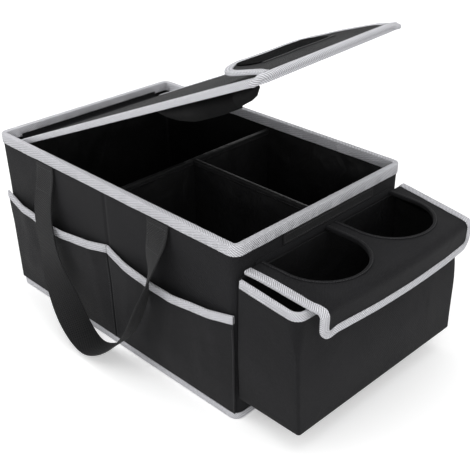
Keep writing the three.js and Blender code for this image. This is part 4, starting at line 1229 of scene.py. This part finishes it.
# The cover is meshed flat with its two openings, then bent to its surface.
def makeCover():
    path = coverPath()
    outline = [vec(across, along) for across, along, _, _ in path]
    for sign in (1, -1):
        centre = cover["cupShift"] + sign * cover["cupSpacing"] / 2
        cup = reversed(cupOutline(centre, cover["root"], edgeRoom))
        outline += [vec(y, x / (1 + coverReach(y) / cover["flat"])) for x, y in cup]
    count = len(outline)
    low, high = np.min(outline, axis=0), np.max(outline, axis=0)
    inner = []
    for across in np.arange(low[0], high[0], cover["spacing"]):
        for along in np.arange(low[1], high[1], cover["spacing"]):
            spot = vec(across, along)
            if min(np.linalg.norm(np.array(outline) - spot, axis=1)) > cover["spacing"] * 0.6:
                inner.append(spot)
    points = [Vector(spot) for spot in outline + inner]
    edges = [(index, (index + 1) % count) for index in range(count)]
    flatPoints, _, faces, *_ = geometry.delaunay_2d_cdt(points, edges, [list(range(count))], 1, 1e-7)
    uvs = [tuple(flatPoints[index]) for face in faces for index in face]
    bent = [coverSurface(*spot) for spot in flatPoints]
    piece = makePiece("cover_panel", bent, [list(face) for face in faces], uvs)
    thicken(piece, cover["thick"])
    smoothFaces(piece)
    place(piece, coverPlace)
    fit(piece, "cup_cover", "outer_cloth", "outerCloth", "cup_cover")
    stations = edgeStations(coverSurface, path, cover["tapeSpacing"])
    edge = (cover["thick"], cover["tapeReach"], cover["tapeSeed"])
    bindEdge("cover", stations, edge, "cup_cover", "cup_cover_binding", coverPlace)
    for side, sign in (("near", -1), ("far", 1)):
        makeCupEdging(side, cover["cupShift"] + sign * cover["cupSpacing"] / 2)


# Black tape folded over the edge of a cup opening, with its seam of stitches.
def makeCupEdging(side, centre):
    thick, reach = cover["thick"], cover["edgeReach"]
    route = cupOutline(centre, cover["root"] + 2 * gap, edgeRoom)
    stations = []
    for index, spot in enumerate(route):
        onward = courseAt(route, index)
        stations.append((vec(*spot, 0), vec(-onward[1], onward[0], 0), vec(0, 0, 1)))
    edging = tapePiece(
        f"cup_{side}_edging", stations, thick, reach, cover["edgeSeed"], wander=cover["edgeWander"],
    )
    stitches = stitchPiece(f"cup_{side}_stitches", [tapeSeam(stations, thick, reach, 1, cover["edgeSeam"])])
    for piece, look, nodes in ((edging, "outerCloth", [f"cup_edging_{side}"]), (stitches, "blackThread", [])):
        place(piece, coverPlace)
        fit(piece, "cup_cover", "outer_cloth", look, *nodes)


fittings = {
    "patchCorner": 0.002, "rows": 90, "columns": 12, "napSize": 0.0016, "seamInset": 0.0022,
    "web": 0.0009, "webRows": 80, "webFoot": 0.002, "webLift": 0.0012, "webRipple": 0.0002, "webPitch": 60,
}


# Loop patch under the rim and the cloth strip that the cover is sewn to.
def makeWallStrips():
    corner, inset = fittings["patchCorner"], fittings["seamInset"]
    for node, name, slot, look, nap in (
        ("loop_patch", "loop_patch_pile", "hook_loop", "loopPile", 0.0003),
        ("cover_hinge_tape", "cover_hinge_cloth", "outer_cloth", "outerCloth", 0.0001),
    ):
        low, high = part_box(node)
        lines = []
        for y in np.linspace(low.y, high.y, fittings["rows"]):
            past = max(corner - min(y - low.y, high.y - y), 0.0)
            trim = corner - math.sqrt(max(corner ** 2 - past ** 2, 0.0))
            heights = np.linspace(low.z + trim, high.z - trim, fittings["columns"])
            lines.append([vec((low.x + high.x) / 2, y, z) for z in heights])
        piece = clothPiece(name, lines, (high.x - low.x) * 0.9)
        ruffle(piece, nap, fittings["napSize"], 5)
        fit(piece, "box", slot, look, node)
    low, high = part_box("loop_patch")
    left, right, under, over = low.y + inset, high.y - inset, low.z + inset, high.z - inset
    corners = [(left, over), (left, under), (right, under), (right, over), (left, over)]
    seams = [
        [(vec(high.x, lerp(y, nextY, t), lerp(z, nextZ, t)), vec(1, 0, 0)) for t in (0, 0.5, 1)]
        for (y, z), (nextY, nextZ) in zip(corners, corners[1:])
    ]
    fit(stitchPiece("loop_patch_stitches", seams), "box", "outer_cloth", "blackThread")


# The lid's cloth hinge: sewn flat inside the rim, then out to a rolled edge that the lid turns on.
def makeLidHinge():
    low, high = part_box("lid_hinge_tape")
    thick, lift, pitch = fittings["web"], fittings["webLift"], fittings["webPitch"]
    wallX, axisX, axisZ, bead = low.x + thick / 2, lid["hingeX"], lid["hingeZ"], lid["bead"] - thick / 2
    profile = [(wallX, z) for z in np.linspace(high.z, axisZ + fittings["webFoot"], 6)]
    profile += [(lerp(wallX, axisX - bead, step / 6), axisZ + lift * (1 - step / 6)) for step in range(1, 6)]
    turns = np.linspace(0, 1.85 * math.pi, 16)
    profile += [(axisX - bead * math.cos(turn), axisZ + bead * math.sin(turn)) for turn in turns]
    lines = [
        [vec(x, y, z + fittings["webRipple"] * wave(y * pitch, x * pitch, z * pitch)) for x, z in profile]
        for y in np.linspace(low.y, high.y, fittings["webRows"])
    ]
    piece = clothPiece("lid_hinge_cloth", lines, thick, angle=60)
    fit(piece, "box", "outer_cloth", "outerCloth", "lid_hinge_tape")


def dressBoards():
    for name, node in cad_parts.items():
        if "board" in name and name != "base_board":
            node.data.materials.clear()
            node.data.materials.append(finish["stiffBoard"])


makeWallCloth()
makeBase()
makeLining()
makeDividers()
makeBoxTapes()
print("box made")
for side, sign in (("near", -1), ("far", 1)):
    for end, endSign in (("left", -1), ("right", 1)):
        makePocket(side, sign, end, endSign, 2.0 + sign + 0.6 * endSign)
    makeHandle(side, sign)
print("pockets and handles made")
makeLid()
makeCornerTab()
makeFlap()
print("lid and flap made")
makePouch()
makePouchTape()
makeCover()
makeWallStrips()
makeLidHinge()
dressBoards()
print("cup holder made")


camera = {
    "place": (0.6831, -0.6172, 0.619), "azimuth": 42.638, "elevation": 31.878, "roll": 0.615,
    "lens": 61.6, "shiftX": -0.0547, "shiftY": 0.0705,
}


def makeCamera():
    azimuth, elevation, roll = (math.radians(camera[key]) for key in ("azimuth", "elevation", "roll"))
    level = math.cos(elevation)
    back = vec(math.sin(azimuth) * level, -math.cos(azimuth) * level, math.sin(elevation))
    right = unit(np.cross(-back, vec(0, 0, 1)))
    up = np.cross(right, -back)
    tiltedRight = right * math.cos(roll) + up * math.sin(roll)
    tiltedUp = up * math.cos(roll) - right * math.sin(roll)
    data = bpy.data.cameras.new("camera")
    data.lens = camera["lens"]
    data.shift_x, data.shift_y = camera["shiftX"], camera["shiftY"]
    viewer = bpy.data.objects.new("camera", data)
    turned = Matrix((tiltedRight, tiltedUp, back)).transposed().to_4x4()
    viewer.matrix_world = Matrix.Translation(camera["place"]) @ turned
    bpy.context.scene.collection.objects.link(viewer)
    bpy.context.scene.camera = viewer


# 1 for the rays that show the background: straight to the camera, by reflection, or through glass.
def seenRays(tree):
    path = addNode(tree, "LightPath")
    seen = reckon(tree, "MAXIMUM", path.outputs["Is Camera Ray"], path.outputs["Is Glossy Ray"])
    return reckon(tree, "MAXIMUM", seen, path.outputs["Is Transmission Ray"])


surround = {
    "seen": 1.0, "light": 0.5, "floorReach": 6, "floorDrop": 0.0004, "paint": (0.86, 0.86, 0.86, 1),
    "glow": 0.36, "glowFrom": 0.45, "glowTo": 1.5,
}


# Pale floor that looks white, so that only the soft shadow under the organizer shows on it. Its glow
# grows with distance, so that it meets the white background.
def makeFloor():
    reach = surround["floorReach"]
    corners = [(-reach, -reach, 0), (reach, -reach, 0), (reach, reach, 0), (-reach, reach, 0)]
    floor = makePiece("floor", corners, [[0, 1, 2, 3]])
    floor.location.z = -surround["floorDrop"]
    paint = bpy.data.materials.new("paleFloor")
    paint.use_nodes = True
    tree = paint.node_tree
    shader = tree.nodes["Principled BSDF"]
    shader.inputs["Base Color"].default_value = surround["paint"]
    shader.inputs["Roughness"].default_value = 0.9
    shader.inputs["Specular IOR Level"].default_value = 0.1
    spot = addNode(tree, "TexCoord").outputs["Object"]
    away = addNode(tree, "VectorMath", {0: spot}, operation="LENGTH").outputs["Value"]
    rise = addNode(tree, "MapRange", {
        0: away, 1: surround["glowFrom"], 2: surround["glowTo"], 3: surround["glow"], 4: 1.0,
    }, interpolation_type="SMOOTHSTEP").outputs[0]
    strength = reckon(tree, "MULTIPLY", seenRays(tree), rise)
    glow = addNode(tree, "Emission", {"Color": (1, 1, 1, 1), "Strength": strength})
    both = addNode(tree, "AddShader", {0: shader.outputs[0], 1: glow.outputs[0]})
    tree.links.new(both.outputs[0], tree.nodes["Material Output"].inputs["Surface"])
    floor.data.materials.append(paint)


lamps = {
    "above": {"place": (0.1, -0.2, 1.7), "size": 2.2, "power": 19, "aim": (0, 0, 0.1)},
    "nearLeft": {"place": (-1.1, -1.5, 0.9), "size": 1.3, "power": 8, "aim": (0, 0, 0.12)},
    "nearRight": {"place": (1.5, -0.9, 0.9), "size": 1.2, "power": 9, "aim": (0.1, 0, 0.12)},
}


def makeLights():
    for name, lamp in lamps.items():
        data = bpy.data.lights.new(name, "AREA")
        data.size = lamp["size"]
        data.energy = lamp["power"]
        light = bpy.data.objects.new(name, data)
        toward = Vector(lamp["aim"]) - Vector(lamp["place"])
        turned = toward.to_track_quat("-Z", "Y").to_matrix().to_4x4()
        light.matrix_world = Matrix.Translation(lamp["place"]) @ turned
        bpy.context.scene.collection.objects.link(light)
    world = bpy.data.worlds.new("studio")
    bpy.context.scene.world = world
    world.use_nodes = True
    tree = world.node_tree
    strength = addNode(tree, "MapRange", {0: seenRays(tree), 3: surround["light"], 4: surround["seen"]})
    tree.nodes["Background"].inputs["Color"].default_value = (1, 1, 1, 1)
    tree.links.new(strength.outputs[0], tree.nodes["Background"].inputs["Strength"])


makeCamera()
makeFloor()
makeLights()
bpy.context.scene.view_settings.view_transform = "Standard"
print("camera and lights made")
